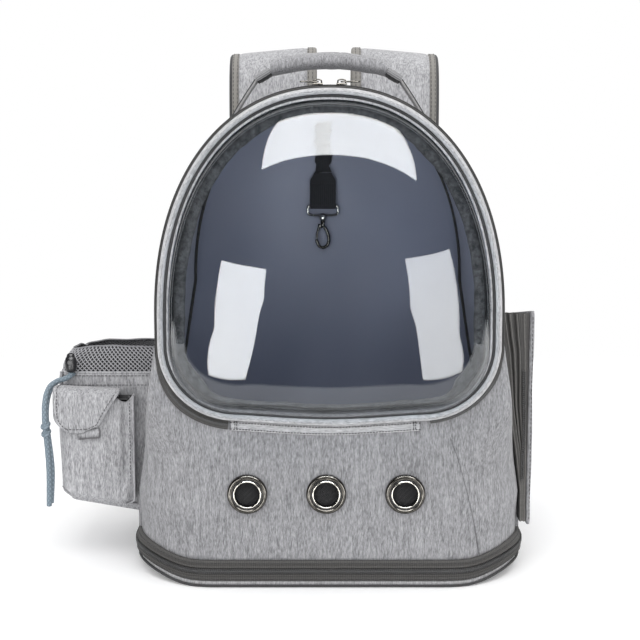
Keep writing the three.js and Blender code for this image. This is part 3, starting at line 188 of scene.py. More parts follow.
@dataclass
class Draft:
    """Collects one piece's mesh in millimetres, with a lengthwise and crosswise measure for its weave."""

    points: Row = field(default_factory=list)
    faces: list[tuple[int, ...]] = field(default_factory=list)
    slots: list[int] = field(default_factory=list)
    weave: list[list[tuple[float, float]]] = field(default_factory=list)

    def grid(
        self,
        rows: Sequence[Sequence[Vector]],
        loop_rows: bool = False,
        loop_points: bool = False,
        keep: Callable[[Vector], bool] | None = None,
        slot: int = 0,
    ) -> "Draft":
        """Add a sheet of quads through rows of points.

        Args:
            rows: rows with the same number of points.
            loop_rows: join the last row to the first.
            loop_points: join each row's last point to its first.
            keep: says of a quad's middle whether it stays.
            slot: material slot of the quads.
        """
        base, wide = len(self.points), len(rows[0])
        middle = [r[wide // 2] for r in rows]
        down = [0.0]
        for a, b in zip(middle, middle[1:] + middle[:1]):
            down.append(down[-1] + (b - a).length)
        widest = max(rows, key=lambda r: (r[-1] - r[0]).length + (r[wide // 2] - r[0]).length)
        over = [0.0]
        for a, b in zip(widest, list(widest[1:]) + [widest[0]]):
            over.append(over[-1] + (b - a).length)
        for row in rows:
            self.points.extend(row)
        for i in range(len(rows) if loop_rows else len(rows) - 1):
            k = (i + 1) % len(rows)
            for j in range(wide if loop_points else wide - 1):
                n = (j + 1) % wide
                quad = (base + i * wide + j, base + i * wide + n, base + k * wide + n, base + k * wide + j)
                if keep and not keep(sum((self.points[q] for q in quad), Vector()) / 4):
                    continue
                self.faces.append(quad)
                self.slots.append(slot)
                self.weave.append([(over[j], down[i]), (over[j + 1], down[i]),
                                   (over[j + 1], down[i + 1]), (over[j], down[i + 1])])
        return self

    def cap(self, ring: Sequence[Vector], slot: int = 0) -> "Draft":
        """Close a ring with a fan about its middle."""
        base = len(self.points)
        self.points.extend(ring)
        self.points.append(sum(ring, Vector()) / len(ring))
        for j in range(len(ring)):
            n = (j + 1) % len(ring)
            corners = (base + j, base + n, base + len(ring))
            self.faces.append(corners)
            self.slots.append(slot)
            self.weave.append([(self.points[c].x, self.points[c].z) for c in corners])
        return self

    def bar(self, sections: Sequence[Sequence[Vector]], slot: int = 0, closed: bool = False) -> "Draft":
        """Add a closed bar through rings of points, capped at its ends unless it closes on itself."""
        self.grid(sections, loop_rows=closed, loop_points=True, slot=slot)
        if not closed:
            self.cap(list(reversed(sections[0])), slot)
            self.cap(sections[-1], slot)
        return self

    def tube(self, line: Sequence[Vector], radius: float, sides: int = 8, closed: bool = False,
             slot: int = 0, taper: Callable[[float], float] | None = None) -> "Draft":
        """Add a round bar along a line.

        Args:
            line: its centreline.
            radius: its radius.
            sides: points round it.
            closed: whether the line closes on itself.
            slot: material slot.
            taper: factor on the radius by the share of the way along.
        """
        ways = tangents(line, closed)
        side = ways[0].orthogonal().normalized()
        rings = []
        for i, (at, way) in enumerate(zip(line, ways)):
            side = (side - way * side.dot(way)).normalized()
            up = way.cross(side)
            wide = radius * (taper(i / max(1, len(line) - 1)) if taper else 1.0)
            rings.append([at + (side * c + up * s) * wide for c, s in circle(sides)])
        return self.bar(rings, slot, closed)

    def lathe(self, profile: Sequence[tuple[float, float]], at: Vector, axis: Vector, sides: int = 32,
              slot: int = 0) -> "Draft":
        """Turn a profile of radius and distance along an axis about a point."""
        turn = Vector((0, 0, 1)).rotation_difference(axis).to_matrix()
        rings = [[at + turn @ Vector((radius * c, radius * s, rise)) for c, s in circle(sides)]
                 for radius, rise in profile]
        return self.grid(rings, loop_points=True, slot=slot)

    def block(self, middle: Vector, wide: Vector, deep: Vector, tall: Vector, waist: float = 0.8,
              slot: int = 0) -> "Draft":
        """Add a small moulded block with its two ends drawn in, from half extents."""
        rings = []
        for rise, share in ((-1, waist), (-0.6, 1), (0.6, 1), (1, waist)):
            rings.append([middle + tall * rise + wide * x * share + deep * y * share
                          for x, y in ((-1, -1), (1, -1), (1, 1), (-1, 1))])
        return self.bar(rings, slot)

    def make(self, name: str, slot: str, *finishes: "Finish", stands_for: str = "", body: str = "carrier",
             weld: float = 0.0, soft: bool = True, lift: float = 0.0) -> bpy.types.Object:
        """Turn the draft into an object that rides on a body.

        Args:
            name: the object's name.
            slot: the record's material slot.
            finishes: what covers it, in slot order.
            stands_for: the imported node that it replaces, if there is one.
            body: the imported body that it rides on.
            weld: points closer than this many millimetres become one.
            soft: smooth shading.
            lift: thickness in millimetres given to an open sheet, inwards.

        Returns:
            The new object.
        """
        mesh = bpy.data.meshes.new(name)
        mesh.from_pydata([p * MM for p in self.points], [], self.faces)
        layer = mesh.uv_layers.new(name="weave")
        flat = [uv for face in self.weave for uv in face]
        for loop, (u, v) in zip(layer.data, flat):
            loop.uv = (u * MM, v * MM)
        for polygon, number in zip(mesh.polygons, self.slots):
            polygon.material_index = number
            polygon.use_smooth = soft
        for finish in finishes:
            mesh.materials.append(finish.material())
        shape = bmesh.new()
        shape.from_mesh(mesh)
        if weld:
            bmesh.ops.remove_doubles(shape, verts=shape.verts, dist=weld * MM)
        bmesh.ops.recalc_face_normals(shape, faces=shape.faces)
        loose = [v for v in shape.verts if not v.link_faces]
        bmesh.ops.delete(shape, geom=loose, context="VERTS")
        shape.to_mesh(mesh)
        shape.free()
        made = bpy.data.objects.new(name, mesh)
        bpy.context.scene.collection.objects.link(made)
        if lift:
            skin = made.modifiers.new("thickness", "SOLIDIFY")
            skin.thickness = lift * MM
            skin.offset = -1
            bake(made)
        if slot:
            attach(made, body)
        if stands_for:
            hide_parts(stands_for)
        return made


def bake(made: bpy.types.Object) -> None:
    """Apply an object's modifiers to its mesh."""
    seen = made.evaluated_get(bpy.context.evaluated_depsgraph_get())
    mesh = bpy.data.meshes.new_from_object(seen)
    made.modifiers.clear()
    made.data = mesh


# Finishes


class Lie(Enum):
    """How a pattern lies on a piece."""

    UPRIGHT = "threads that run up the object"
    ALONG = "threads that run along the piece's own length"


def add_node(tree: Tree, kind: str, settings: dict[str, object] | None = None,
             links: dict[str | int, Socket] | None = None) -> bpy.types.Node:
    """Add a shader node.

    Args:
        tree: the node tree.
        kind: the node's type name.
        settings: properties, or inputs by name or by number as text.
        links: sockets that feed its inputs, by name or number.

    Returns:
        The node.
    """
    node = tree.nodes.new(kind)
    for key, value in (settings or {}).items():
        if key.isdigit():
            node.inputs[int(key)].default_value = value
        elif hasattr(node, key):
            setattr(node, key, value)
        else:
            node.inputs[key].default_value = value
    for key, socket in (links or {}).items():
        tree.links.new(socket, node.inputs[key])
    return node


def ramp(tree: Tree, feed: Socket,
         *stops: tuple[float, str]) -> Socket:
    """Turn a value into colours by stops of a place and a hex colour."""
    node = add_node(tree, "ShaderNodeValToRGB", links={"Fac": feed})
    band = node.color_ramp
    while len(band.elements) < len(stops):
        band.elements.new(0.5)
    for element, (at, colour) in zip(band.elements, stops):
        element.position = at
        element.color = linear(colour)
    return node.outputs["Color"]


@dataclass(frozen=True)
class Finish:
    """What every finish shares: a name, two tones, a base surface and a place for its pattern."""

    name: str
    dark: str = "5c5c5f"
    light: str = "a7a7aa"
    roughness: float = 0.9
    ior: float = 1.5
    metallic: float = 0.0
    sheen: float = 0.0
    lie: Lie = Lie.UPRIGHT
    relief: float = 0.25

    def material(self) -> bpy.types.Material:
        """Make the material once and hand out the same one after that."""
        found = bpy.data.materials.get(self.name)
        if found:
            return found
        made = bpy.data.materials.new(self.name)
        made.use_nodes = True
        tree = made.node_tree
        tree.nodes.clear()
        out = add_node(tree, "ShaderNodeOutputMaterial")
        tree.links.new(self.surface(tree), out.inputs["Surface"])
        return made

    def surface(self, tree: Tree) -> Socket:
        """Build the shader; each finish has its own."""
        raise NotImplementedError

    def place(self, tree: Tree, across: float, length: float) -> Socket:
        """Coordinates in which one unit is a thread's pitch across and its length along, in millimetres."""
        source = add_node(tree, "ShaderNodeTexCoord")
        if self.lie is Lie.UPRIGHT:
            scale, feed = (1000 / across, 1000 / across, 1000 / length), source.outputs["Object"]
        else:
            scale, feed = (1000 / across, 1000 / length, 1.0), source.outputs["UV"]
        return add_node(tree, "ShaderNodeMapping", {"Scale": scale}, {"Vector": feed}).outputs["Vector"]

    def grain(self, tree: Tree, across: float, length: float, detail: float = 2.0,
              rough: float = 0.5) -> Socket:
        """Uneven light and dark, stretched along the threads."""
        return add_node(tree, "ShaderNodeTexNoise", {"Scale": 1.0, "Detail": detail, "Roughness": rough},
                        {"Vector": self.place(tree, across, length)}).outputs["Fac"]

    def shader(self, tree: Tree, colour: Socket, height: Socket,
               gloss: Socket | None = None, depth: float = 0.0004) -> Socket:
        """The base shader with this finish's own constants.

        Args:
            tree: the node tree.
            colour: the base colour.
            height: what raises and sinks the surface.
            gloss: an uneven roughness, where there is one.
            depth: how deep the relief is, in metres.

        Returns:
            The shader's output.
        """
        raised = add_node(tree, "ShaderNodeBump", {"Strength": self.relief, "Distance": depth},
                          {"Height": height})
        node = add_node(tree, "ShaderNodeBsdfPrincipled",
                        {"Roughness": self.roughness, "Metallic": self.metallic, "Sheen Weight": self.sheen},
                        {"Base Color": colour, "Normal": raised.outputs["Normal"]})
        if not self.metallic:
            node.inputs["IOR"].default_value = self.ior
        if gloss:
            tree.links.new(gloss, node.inputs["Roughness"])
        return node.outputs["BSDF"]

    def toned(self, tree: Tree, feed: Socket, low: float, high: float,
              gloss: Socket | None = None, depth: float = 0.0004) -> Socket:
        """The base shader with both its colour and its relief from one pattern."""
        return self.shader(tree, ramp(tree, feed, (low, self.dark), (high, self.light)), feed, gloss, depth)


@dataclass(frozen=True)
class MelangeCanvas(Finish):
    """Woven polyester from grey and white yarns mixed: fine upright streaks and a soft, dry surface.

    The real threads are 0.3 to 0.4 mm, too fine for the picture, so the streaks are drawn 1 mm wide.
    """

    sheen: float = 0.12

    def surface(self, tree: Tree) -> Socket:
        """Streaks of two lengths over a slow change of tone, with the threads' relief."""
        slow = add_node(tree, "ShaderNodeMix", {"Factor": 0.25}, {
            2: self.grain(tree, 3.4, 30.0, 2.0, 0.6), 3: self.grain(tree, 60.0, 90.0)}).outputs[0]
        total = add_node(tree, "ShaderNodeMix", {"Factor": 0.68}, {
            2: slow, 3: self.grain(tree, 1.0, 5.0, 3.0, 0.7)}).outputs[0]
        colour = ramp(tree, total, (0.36, self.dark), (0.64, self.light))
        return self.shader(tree, colour, self.grain(tree, 0.9, 2.4))


@dataclass(frozen=True)
class RibbedWebbing(Finish):
    """Narrow woven tape or webbing: fine ribs along its length that break the light into lines."""

    dark: str = "2c2b2a"
    light: str = "4a4846"
    rib: float = 1.6
    lie: Lie = Lie.ALONG
    relief: float = 0.5
    sheen: float = 0.1

    def surface(self, tree: Tree) -> Socket:
        """Ribs with slightly uneven yarns."""
        ribs = add_node(tree, "ShaderNodeTexWave",
                        {"Scale": 0.314, "Distortion": 1.2, "Detail": 2.0, "Detail Scale": 2.0},
                        {"Vector": self.place(tree, self.rib, self.rib * 2.5)}).outputs["Fac"]
        yarn = self.grain(tree, self.rib / 1.3, self.rib * 1.9, 3.0)
        both = add_node(tree, "ShaderNodeMix", {"Factor": 0.55}, {2: ribs, 3: yarn}).outputs[0]
        return self.toned(tree, both, 0.25, 0.75)


@dataclass(frozen=True)
class SlateLining(Finish):
    """Calendered polyester lining: smooth and close, with a faint silky light where it swells."""

    dark: str = "565a6a"
    light: str = "6a6e7e"
    roughness: float = 0.55
    sheen: float = 0.15
    relief: float = 0.12

    def surface(self, tree: Tree) -> Socket:
        """A slow change of tone and a fine square weave."""
        colour = ramp(tree, self.grain(tree, 110.0, 160.0, 1.5), (0.3, self.dark), (0.7, self.light))
        return self.shader(tree, colour, self.grain(tree, 1.2, 1.2), depth=0.0003)


@dataclass(frozen=True)
class BrushedBinding(Finish):
    """Raw folded binding with a brushed nap: mottled, fuzzy light and dark."""

    dark: str = "151516"
    light: str = "525153"
    sheen: float = 0.1
    relief: float = 0.6
    clump: float = 5.0

    def surface(self, tree: Tree) -> Socket:
        """Clumps of nap over its fibres."""
        clumps = self.grain(tree, self.clump, self.clump, 4.0, 0.7)
        return self.toned(tree, clumps, 0.35, 0.68, depth=0.0008)


@dataclass(frozen=True)
class BlackPlatedSteel(Finish):
    """Steel with polished black nickel plating: mirror-like, with faint wear in the tone."""

    dark: str = "454340"
    light: str = "67645f"
    metallic: float = 1.0
    roughness: float = 0.16
    relief: float = 0.05

    def surface(self, tree: Tree) -> Socket:
        """Slight clouds in tone and gloss."""
        cloud = self.grain(tree, 4.0, 4.0, 3.0)
        bounds = {"To Min": self.roughness * 0.7, "To Max": self.roughness * 1.6}
        gloss = add_node(tree, "ShaderNodeMapRange", bounds, {"Value": cloud}).outputs["Result"]
        return self.toned(tree, cloud, 0.35, 0.75, gloss, 0.0001)


@dataclass(frozen=True)
class MouldedAcetal(Finish):
    """Injection-moulded acetal: even, slightly waxy, with the fine spark texture of its mould."""

    dark: str = "17171a"
    light: str = "232327"
    roughness: float = 0.38
    ior: float = 1.48
    relief: float = 0.15

    def surface(self, tree: Tree) -> Socket:
        """Fine mould texture."""
        spark = self.grain(tree, 0.8, 0.8, 3.0)
        return self.toned(tree, spark, 0.3, 0.7, depth=0.0002)


@dataclass(frozen=True)
class BraidedCord(Finish):
    """Braided polyester cord: plaited strands that cross at a slant, drawn at 2.2 mm so that they show."""

    dark: str = "64737e"
    light: str = "82919c"
    strand: float = 2.2
    sheen: float = 0.15
    lie: Lie = Lie.ALONG
    relief: float = 0.35

    def surface(self, tree: Tree) -> Socket:
        """Slanting strands each way."""
        place = self.place(tree, self.strand, self.strand)
        lines = [add_node(tree, "ShaderNodeTexWave",
                          {"Scale": 0.32, "Distortion": 0.4, "bands_direction": "DIAGONAL"},
                          {"Vector": add_node(tree, "ShaderNodeMapping", {"Scale": (slant, 1.0, 0.0)},
                                              {"Vector": place}).outputs["Vector"]}).outputs["Fac"]
                 for slant in (1.0, -1.0)]
        plait = add_node(tree, "ShaderNodeMath", {"operation": "MULTIPLY"}, dict(enumerate(lines))).outputs[0]
        return self.toned(tree, plait, 0.0, 0.5)


@dataclass(frozen=True)
class ClearPolycarbonate(Finish):
    """Thermoformed clear polycarbonate sheet: thin, so what is behind it hardly shifts, and glossy.

    It mirrors a twentieth of the light that strikes it squarely, and nearly all that grazes it.
    """

    dark: str = "f4f7fa"
    light: str = "fafcfd"
    roughness: float = 0.015
    least: float = 0.05

    def surface(self, tree: Tree) -> Socket:
        """A clear body under a mirror-like face, the same from both sides of the sheet."""
        tone = ramp(tree, self.grain(tree, 90.0, 90.0), (0.3, self.dark), (0.8, self.light))
        clear = add_node(tree, "ShaderNodeBsdfTransparent", links={"Color": tone})
        face = add_node(tree, "ShaderNodeBsdfGlossy", {"Roughness": self.roughness})
        slant = add_node(tree, "ShaderNodeLayerWeight", {"Blend": 0.5}).outputs["Facing"]
        fifth = add_node(tree, "ShaderNodeMath", {"operation": "POWER", "1": 5.0}, {0: slant})
        rest = {"operation": "MULTIPLY_ADD", "1": 1 - self.least, "2": self.least}
        share = add_node(tree, "ShaderNodeMath", rest, {0: fifth.outputs[0]})
        return add_node(tree, "ShaderNodeMixShader", links={0: share.outputs[0], 1: clear.outputs[0],
                                                            2: face.outputs[0]}).outputs[0]


@dataclass(frozen=True)
class PaleSweep(Finish):
    """Matt white paint on the studio table: pale and even."""

    dark: str = "f6f6f7"
    light: str = "fbfbfb"
    roughness: float = 0.95
    relief: float = 0.05
    glow: float = 0.12

    def surface(self, tree: Tree) -> Socket:
        """Hardly any change of tone."""
        cloud = self.grain(tree, 300.0, 300.0)
        made = self.toned(tree, cloud, 0.3, 0.7)
        made.node.inputs["Emission Color"].default_value = (1.0, 1.0, 1.0, 1.0)
        made.node.inputs["Emission Strength"].default_value = self.glow
        return made


HEATHER = MelangeCanvas("melange_polyester_canvas")
PALE_HEATHER = MelangeCanvas("pale_melange_polyester", "707073", "c4c4c7")
BAND_HEATHER = MelangeCanvas("melange_binding_strip", "8f8f91", "d0d0d2", lie=Lie.ALONG)
LEG_WEBBING = MelangeCanvas("melange_flat_webbing", "76757a", "b7b5b3", lie=Lie.ALONG, relief=0.5)
# A lighter copy of the pleat tape: painted highlight on the fold crests.
CREST_HIGHLIGHT = RibbedWebbing("fold_crest_painted_highlight", "474543", "6c6a67", rib=1.4)
THREAD = RibbedWebbing("grey_sewing_thread", "555457", "6f6e71")
NET_EDGE = RibbedWebbing("folded_net_edge", "2e2e31", "8a8a8e", rib=2.4)
ZIP_TAPE = RibbedWebbing("woven_zip_tape")
DARK_BINDING = RibbedWebbing("dark_edge_binding", "1b1b1d", "343436", rib=1.2)
GREY_BINDING = RibbedWebbing("pale_cuff_binding", "616163", "8e8e90", rib=1.8)
BEIGE_BINDING = RibbedWebbing("grey_edge_binding", "6f6c68", "8f8c86", rib=1.2)
BLACK_WEBBING = RibbedWebbing("black_polypropylene_webbing", "0b0b0d", "1d1d20", rib=2.0)
COIL = RibbedWebbing("nylon_zip_coil", "1d1d1f", "3d3d3d", rib=1.0, roughness=0.5)
NET = RibbedWebbing("knitted_nylon_net", "121214", "26262a", rib=1.0)
LIGHT_NET = RibbedWebbing("silver_knitted_net", "7c7c80", "c2c2c6", rib=1.0)
LINING = SlateLining("calendered_polyester_lining")
NAP = BrushedBinding("brushed_polyester_binding")
# A darker copy of the nap: painted shade.
SHADED_NAP = BrushedBinding("shadowed_inner_binding", "141416", "33322f")
PLATED = BlackPlatedSteel("black_nickel_plated_steel")
# A lighter copy of the black plated steel, used as a painted highlight.
PLATED_HIGHLIGHT = BlackPlatedSteel("plated_steel_painted_highlight", "b5b2aa", "d8d5cd", roughness=0.12)
ACETAL = MouldedAcetal("moulded_black_acetal")
CORD = BraidedCord("braided_polyester_cord")
CLEAR = ClearPolycarbonate("thermoformed_polycarbonate")
TABLE = PaleSweep("matt_white_table")


# Forms that several pieces share


@dataclass(frozen=True)
class Edge:
    """A point of an outline seen from the front, with its outward normal."""

    x: float
    z: float
    nx: float
    nz: float

    def moved(self, out: float, y: float) -> Vector:
        """The point moved out along its normal, at a depth."""
        return Vector((self.x + self.nx * out, y, self.z + self.nz * out))

    @property
    def normal(self) -> Vector:
        """The outward direction."""
        return Vector((self.nx, 0, self.nz))


def with_normals(line: Sequence[tuple[float, float]]) -> list[Edge]:
    """Give a closed anticlockwise outline its outward normals."""
    count = len(line)
    edges = []
    for i, (x, z) in enumerate(line):
        (ax, az), (bx, bz) = line[i - 1], line[(i + 1) % count]
        length = math.hypot(bx - ax, bz - az)
        edges.append(Edge(x, z, (bz - az) / length, -(bx - ax) / length))
    return edges


@dataclass(frozen=True)
class BodyForm:
    """The soft body's outline, its rounded front corners and the curl of its base."""

    arch_half: float = 145.5
    foot_half: float = 171.5
    front: float = -140.0
    back: float = 140.0
    height: float = 429.0
    spring: float = 235.0
    flare: float = 70.0
    power: float = 2.2
    foot: float = 24.0
    corner_low: float = 60.0
    corner_high: float = 5.0
    corner_low_z: float = 95.0
    corner_high_z: float = 175.0
    back_corner: float = 12.0
    foot_round: float = 12.0
    puff: float = 3.2
    curl: float = 9.0
    curl_start: float = 118.0
    curl_top: float = 80.0

    def half(self, z: float) -> float:
        """Half width of the straight sides at a height."""
        share = clamp((self.spring - z) / (self.spring - self.flare))
        return mix(self.arch_half, self.foot_half, share)

    def corner(self, z: float) -> float:
        """Radius in plan of the front corners at a height."""
        share = smooth((self.corner_high_z - z) / (self.corner_high_z - self.corner_low_z))
        low = 1 - smooth((z - self.foot) / 70)
        return mix(self.corner_high, self.corner_low, share) + self.foot_round * low

    def cut_back(self, z: float, y: float) -> float:
        """How far the rounded front corner cuts into the width at a height and a depth."""
        r = self.corner(z) + 3
        short = clamp(r - (y - self.front), 0, r)
        return r - math.sqrt(r * r - short * short)

    def settled(self, x: float, y: float, z: float) -> Vector:
        """A point lifted by the curl of the soft base."""
        share = smooth((abs(x) - self.curl_start) / (self.foot_half - self.curl_start))
        fade = 1 - smooth((z - self.foot) / (self.curl_top - self.foot))
        puff = self.puff * share * math.sin(math.pi * clamp(z / self.foot))
        return Vector((x + math.copysign(puff, x), y, z + self.curl * share * fade))

    def rested(self, edge: Edge, out: float, y: float) -> Vector:
        """A point of an outline moved out, at a depth, and lifted with the base."""
        at = edge.moved(out, y)
        return self.settled(at.x, y, at.z)

    def arch(self, angle: float) -> Edge:
        """A point of the arch at an angle from its right spring."""
        c, s = math.cos(angle), max(0.0, math.sin(angle))
        rise = self.height - self.spring
        x = self.arch_half * squared(c, 2 / self.power)
        up = rise * s ** (2 / self.power)
        nx = squared(x / self.arch_half, self.power - 1) / self.arch_half
        nz = (up / rise) ** (self.power - 1) / rise
        length = math.hypot(nx, nz)
        return Edge(x, self.spring + up, nx / length, nz / length)

    def arch_height(self, x: float) -> float:
        """Height of the arch above a place across."""
        share = max(0.0, 1 - (abs(x) / self.arch_half) ** self.power)
        return self.spring + (self.height - self.spring) * share ** (1 / self.power)

    def outline(self, foot: float, sides: int = 56, arches: int = 96) -> list[Edge]:
        """The outline from the left foot over the arch to the right foot."""
        left = [Edge(-self.half(z), z, -1, 0) for z in spread(foot, self.spring, sides)[:-1]]
        arch = [self.arch(math.pi * (1 - i / arches)) for i in range(arches + 1)]
        right = [Edge(-e.x, e.z, 1, 0) for e in reversed(left)]
        return [*left, *arch, *right]

    def loop(self, foot: float, inset: float, y: float, rounded: bool = False) -> Row:
        """A closed ring of the body drawn in by inset at one depth, with or without its rounded corners."""

        def drawn(z: float) -> float:
            """How far the ring is drawn in at a height."""
            return inset + (self.cut_back(z, y) if rounded else 0.0)

        half = self.half(foot) - drawn(foot)
        return ([self.rested(e, -drawn(e.z), y) for e in self.outline(foot)]
                + [self.settled(mix(half, -half, t), y, foot) for t in spread(0, 1, 40)[1:-1]])

    def plan(self, out: float) -> list[tuple[float, float]]:
        """The base's outline from above, moved out, from the front's middle round by the right."""
        half = self.foot_half + out
        fy, fr = self.front - out, self.corner_low + self.foot_round + out
        by, br = self.back + out, self.back_corner + out
        right = [(mix(0, half - fr, t), fy) for t in spread(0, 1, 22)]
        right += [(half - fr + fr * over, fy + fr * back) for over, back in quarter(16)]
        right += [(half, mix(fy + fr, by - br, t)) for t in spread(0, 1, 30)[1:]]
        right += [(half - br * back, by - br + br * over) for over, back in quarter(6)]
        right += [(mix(half - br, 0, t), by) for t in spread(0, 1, 30)[1:]]
        return right + [(-x, y) for x, y in right[-2:0:-1]]

    def band(self, section: Sequence[tuple[float, float]]) -> list[Row]:
        """Rings round the base, one for each pair of outward offset and height."""
        return [[self.settled(x, y, z) for x, y in self.plan(out)] for out, z in section]


@dataclass(frozen=True)
class DoorForm:
    """The door's outline and the domed window inside it."""

    body: BodyForm = BodyForm()
    foot: float = 149.0
    corner: float = 64.0
    bow: float = 4.5
    flange: float = 6.0
    dome_height: float = 70.0
    dome_power: float = 3.4
    centre_z: float = 293.5

    def outline(self, offset: float = 0.0) -> list[Edge]:
        """The outline, anticlockwise from its lower right corner, moved out by offset."""
        low = self.foot + self.corner
        half, r = self.body.arch_half, self.corner
        side, turns, rises = half - r, spread(0, math.pi / 2, 23), (0.2, 0.4, 0.6, 0.8)
        line = [(side + r * math.sin(a), low - r * math.cos(a)) for a in turns]
        line += [(half, mix(low, self.body.spring, t)) for t in rises]
        line += [(e.x, e.z) for e in (self.body.arch(a) for a in spread(0, math.pi, 97))]
        line += [(-half, mix(self.body.spring, low, t)) for t in rises]
        line += [(-side - r * math.cos(a), low - r * math.sin(a)) for a in turns]
        line += [(mix(-side, side, t), self.foot) for t in spread(0, 1, 34)[1:-1]]
        reach = side + 20
        bowed = [(x, z - self.bow * math.cos(math.pi * x / (2 * reach)) ** 2) if abs(x) < reach and z < low
                 else (x, z) for x, z in line]
        return [Edge(e.x + e.nx * offset, e.z + e.nz * offset, e.nx, e.nz) for e in with_normals(bowed)]

    def foot_at(self, x: float) -> float:
        """Height of the door's lower edge at a place across."""
        low = sorted((e.x, e.z) for e in self.outline() if e.z < self.foot + self.corner / 2)
        return along(low, x)

    def ring(self, section: Callable[[Edge, float], Sequence[tuple[float, float]]],
             part: Sequence[Edge] | None = None) -> list[Row]:
        """Sections at each point of the outline.

        Args:
            section: gives pairs of outward offset and depth for a point and its share round.
            part: the stretch of the outline to use, or all of it.

        Returns:
            One ring of points for each point of the outline.
        """
        edges = list(part) if part else self.outline()
        count = len(edges)
        return [[e.moved(out, y) for out, y in section(e, i / count)] for i, e in enumerate(edges)]

    def dome(self, share: float, rise: float, face: float, inset: float) -> Row:
        """A ring of the dome at a share of the way out from its tip."""
        height = rise * (1 - share ** self.dome_power) ** (1 / self.dome_power)
        edges = self.outline(-5.6 - self.flange - inset)
        return [Vector((e.x * share, face - height, mix(self.centre_z, e.z, share))) for e in edges]


def inside(x: float, z: float, ring: Sequence[Edge]) -> bool:
    """Whether a point lies inside a closed outline."""
    within = False
    for a, b in zip(ring, [*ring[1:], ring[0]]):
        if (a.z > z) != (b.z > z) and x < a.x + (z - a.z) / (b.z - a.z) * (b.x - a.x):
            within = not within
    return within


@dataclass(frozen=True)
class Stitching:
    """A row of sewing thread: short dashes of thread with gaps between them."""

    pitch: float = 3.6
    length: float = 2.4
    radius: float = 0.32

    def sew(self, draft: Draft, line: Sequence[Vector], out: Vector | Callable[[Vector], Vector]) -> Draft:
        """Lay stitches along a line.

        Args:
            draft: the mesh that takes them.
            line: where the row runs.
            out: which way the cloth faces, everywhere or at a point.

        Returns:
            The draft.
        """
        left = 0.0
        for a, b in zip(line, line[1:]):
            step = (b - a).length
            if step < 1e-6:
                continue
            way = (b - a) / step
            while left < step:
                at = a + way * left
                face = (out if isinstance(out, Vector) else out(at)).normalized()
                draft.block(at + face * self.radius * 0.5, way.cross(face) * self.radius, face * self.radius,
                            way * (self.length / 2), waist=0.5)
                left += self.pitch
            left -= step
        return draft


@dataclass(frozen=True)
class ZipCoil:
    """A nylon coil: short teeth laid across the line, by turns to one side and the other."""

    pitch: float = 1.6
    tooth: tuple[float, float, float] = (0.42, 0.45, 0.9)
    stagger: float = 0.45
    gap: float = 12.0

    def lay(self, line: Sequence[Vector], outs: Sequence[Vector]) -> Draft:
        """Lay teeth along a line, in a new draft.

        Args:
            line: the coil's centreline; a step longer than the gap stays bare.
            outs: which way the tape faces at each point of the line.

        Returns:
            The draft.
        """
        draft, left, row = Draft(), 0.0, 0
        thick, deep, wide = self.tooth
        for (a, b), face in zip(zip(line, line[1:]), outs):
            step = (b - a).length
            if step > self.gap:
                continue
            way = (b - a) / step
            across = way.cross(face)
            while left < step:
                at = a + way * left + across * (self.stagger if row % 2 else -self.stagger)
                draft.block(at, way * thick, face * deep, across * wide, waist=0.6)
                left += self.pitch / 2
                row += 1
            left -= step
        return draft


FRONT_OUT = Vector((0, -1, 0))
UP = Vector((0, 0, 1))
FLAT = ((-1, -0.5), (-0.97, -1), (0.97, -1), (1, -0.5), (1, 0.5), (0.97, 1), (-0.97, 1), (-1, 0.5))
ROUNDED = ((-1, -0.6), (-0.6, -1), (0.6, -1), (1, -0.6), (1, 0.6), (0.6, 1), (-0.6, 1), (-1, 0.6))


# Body


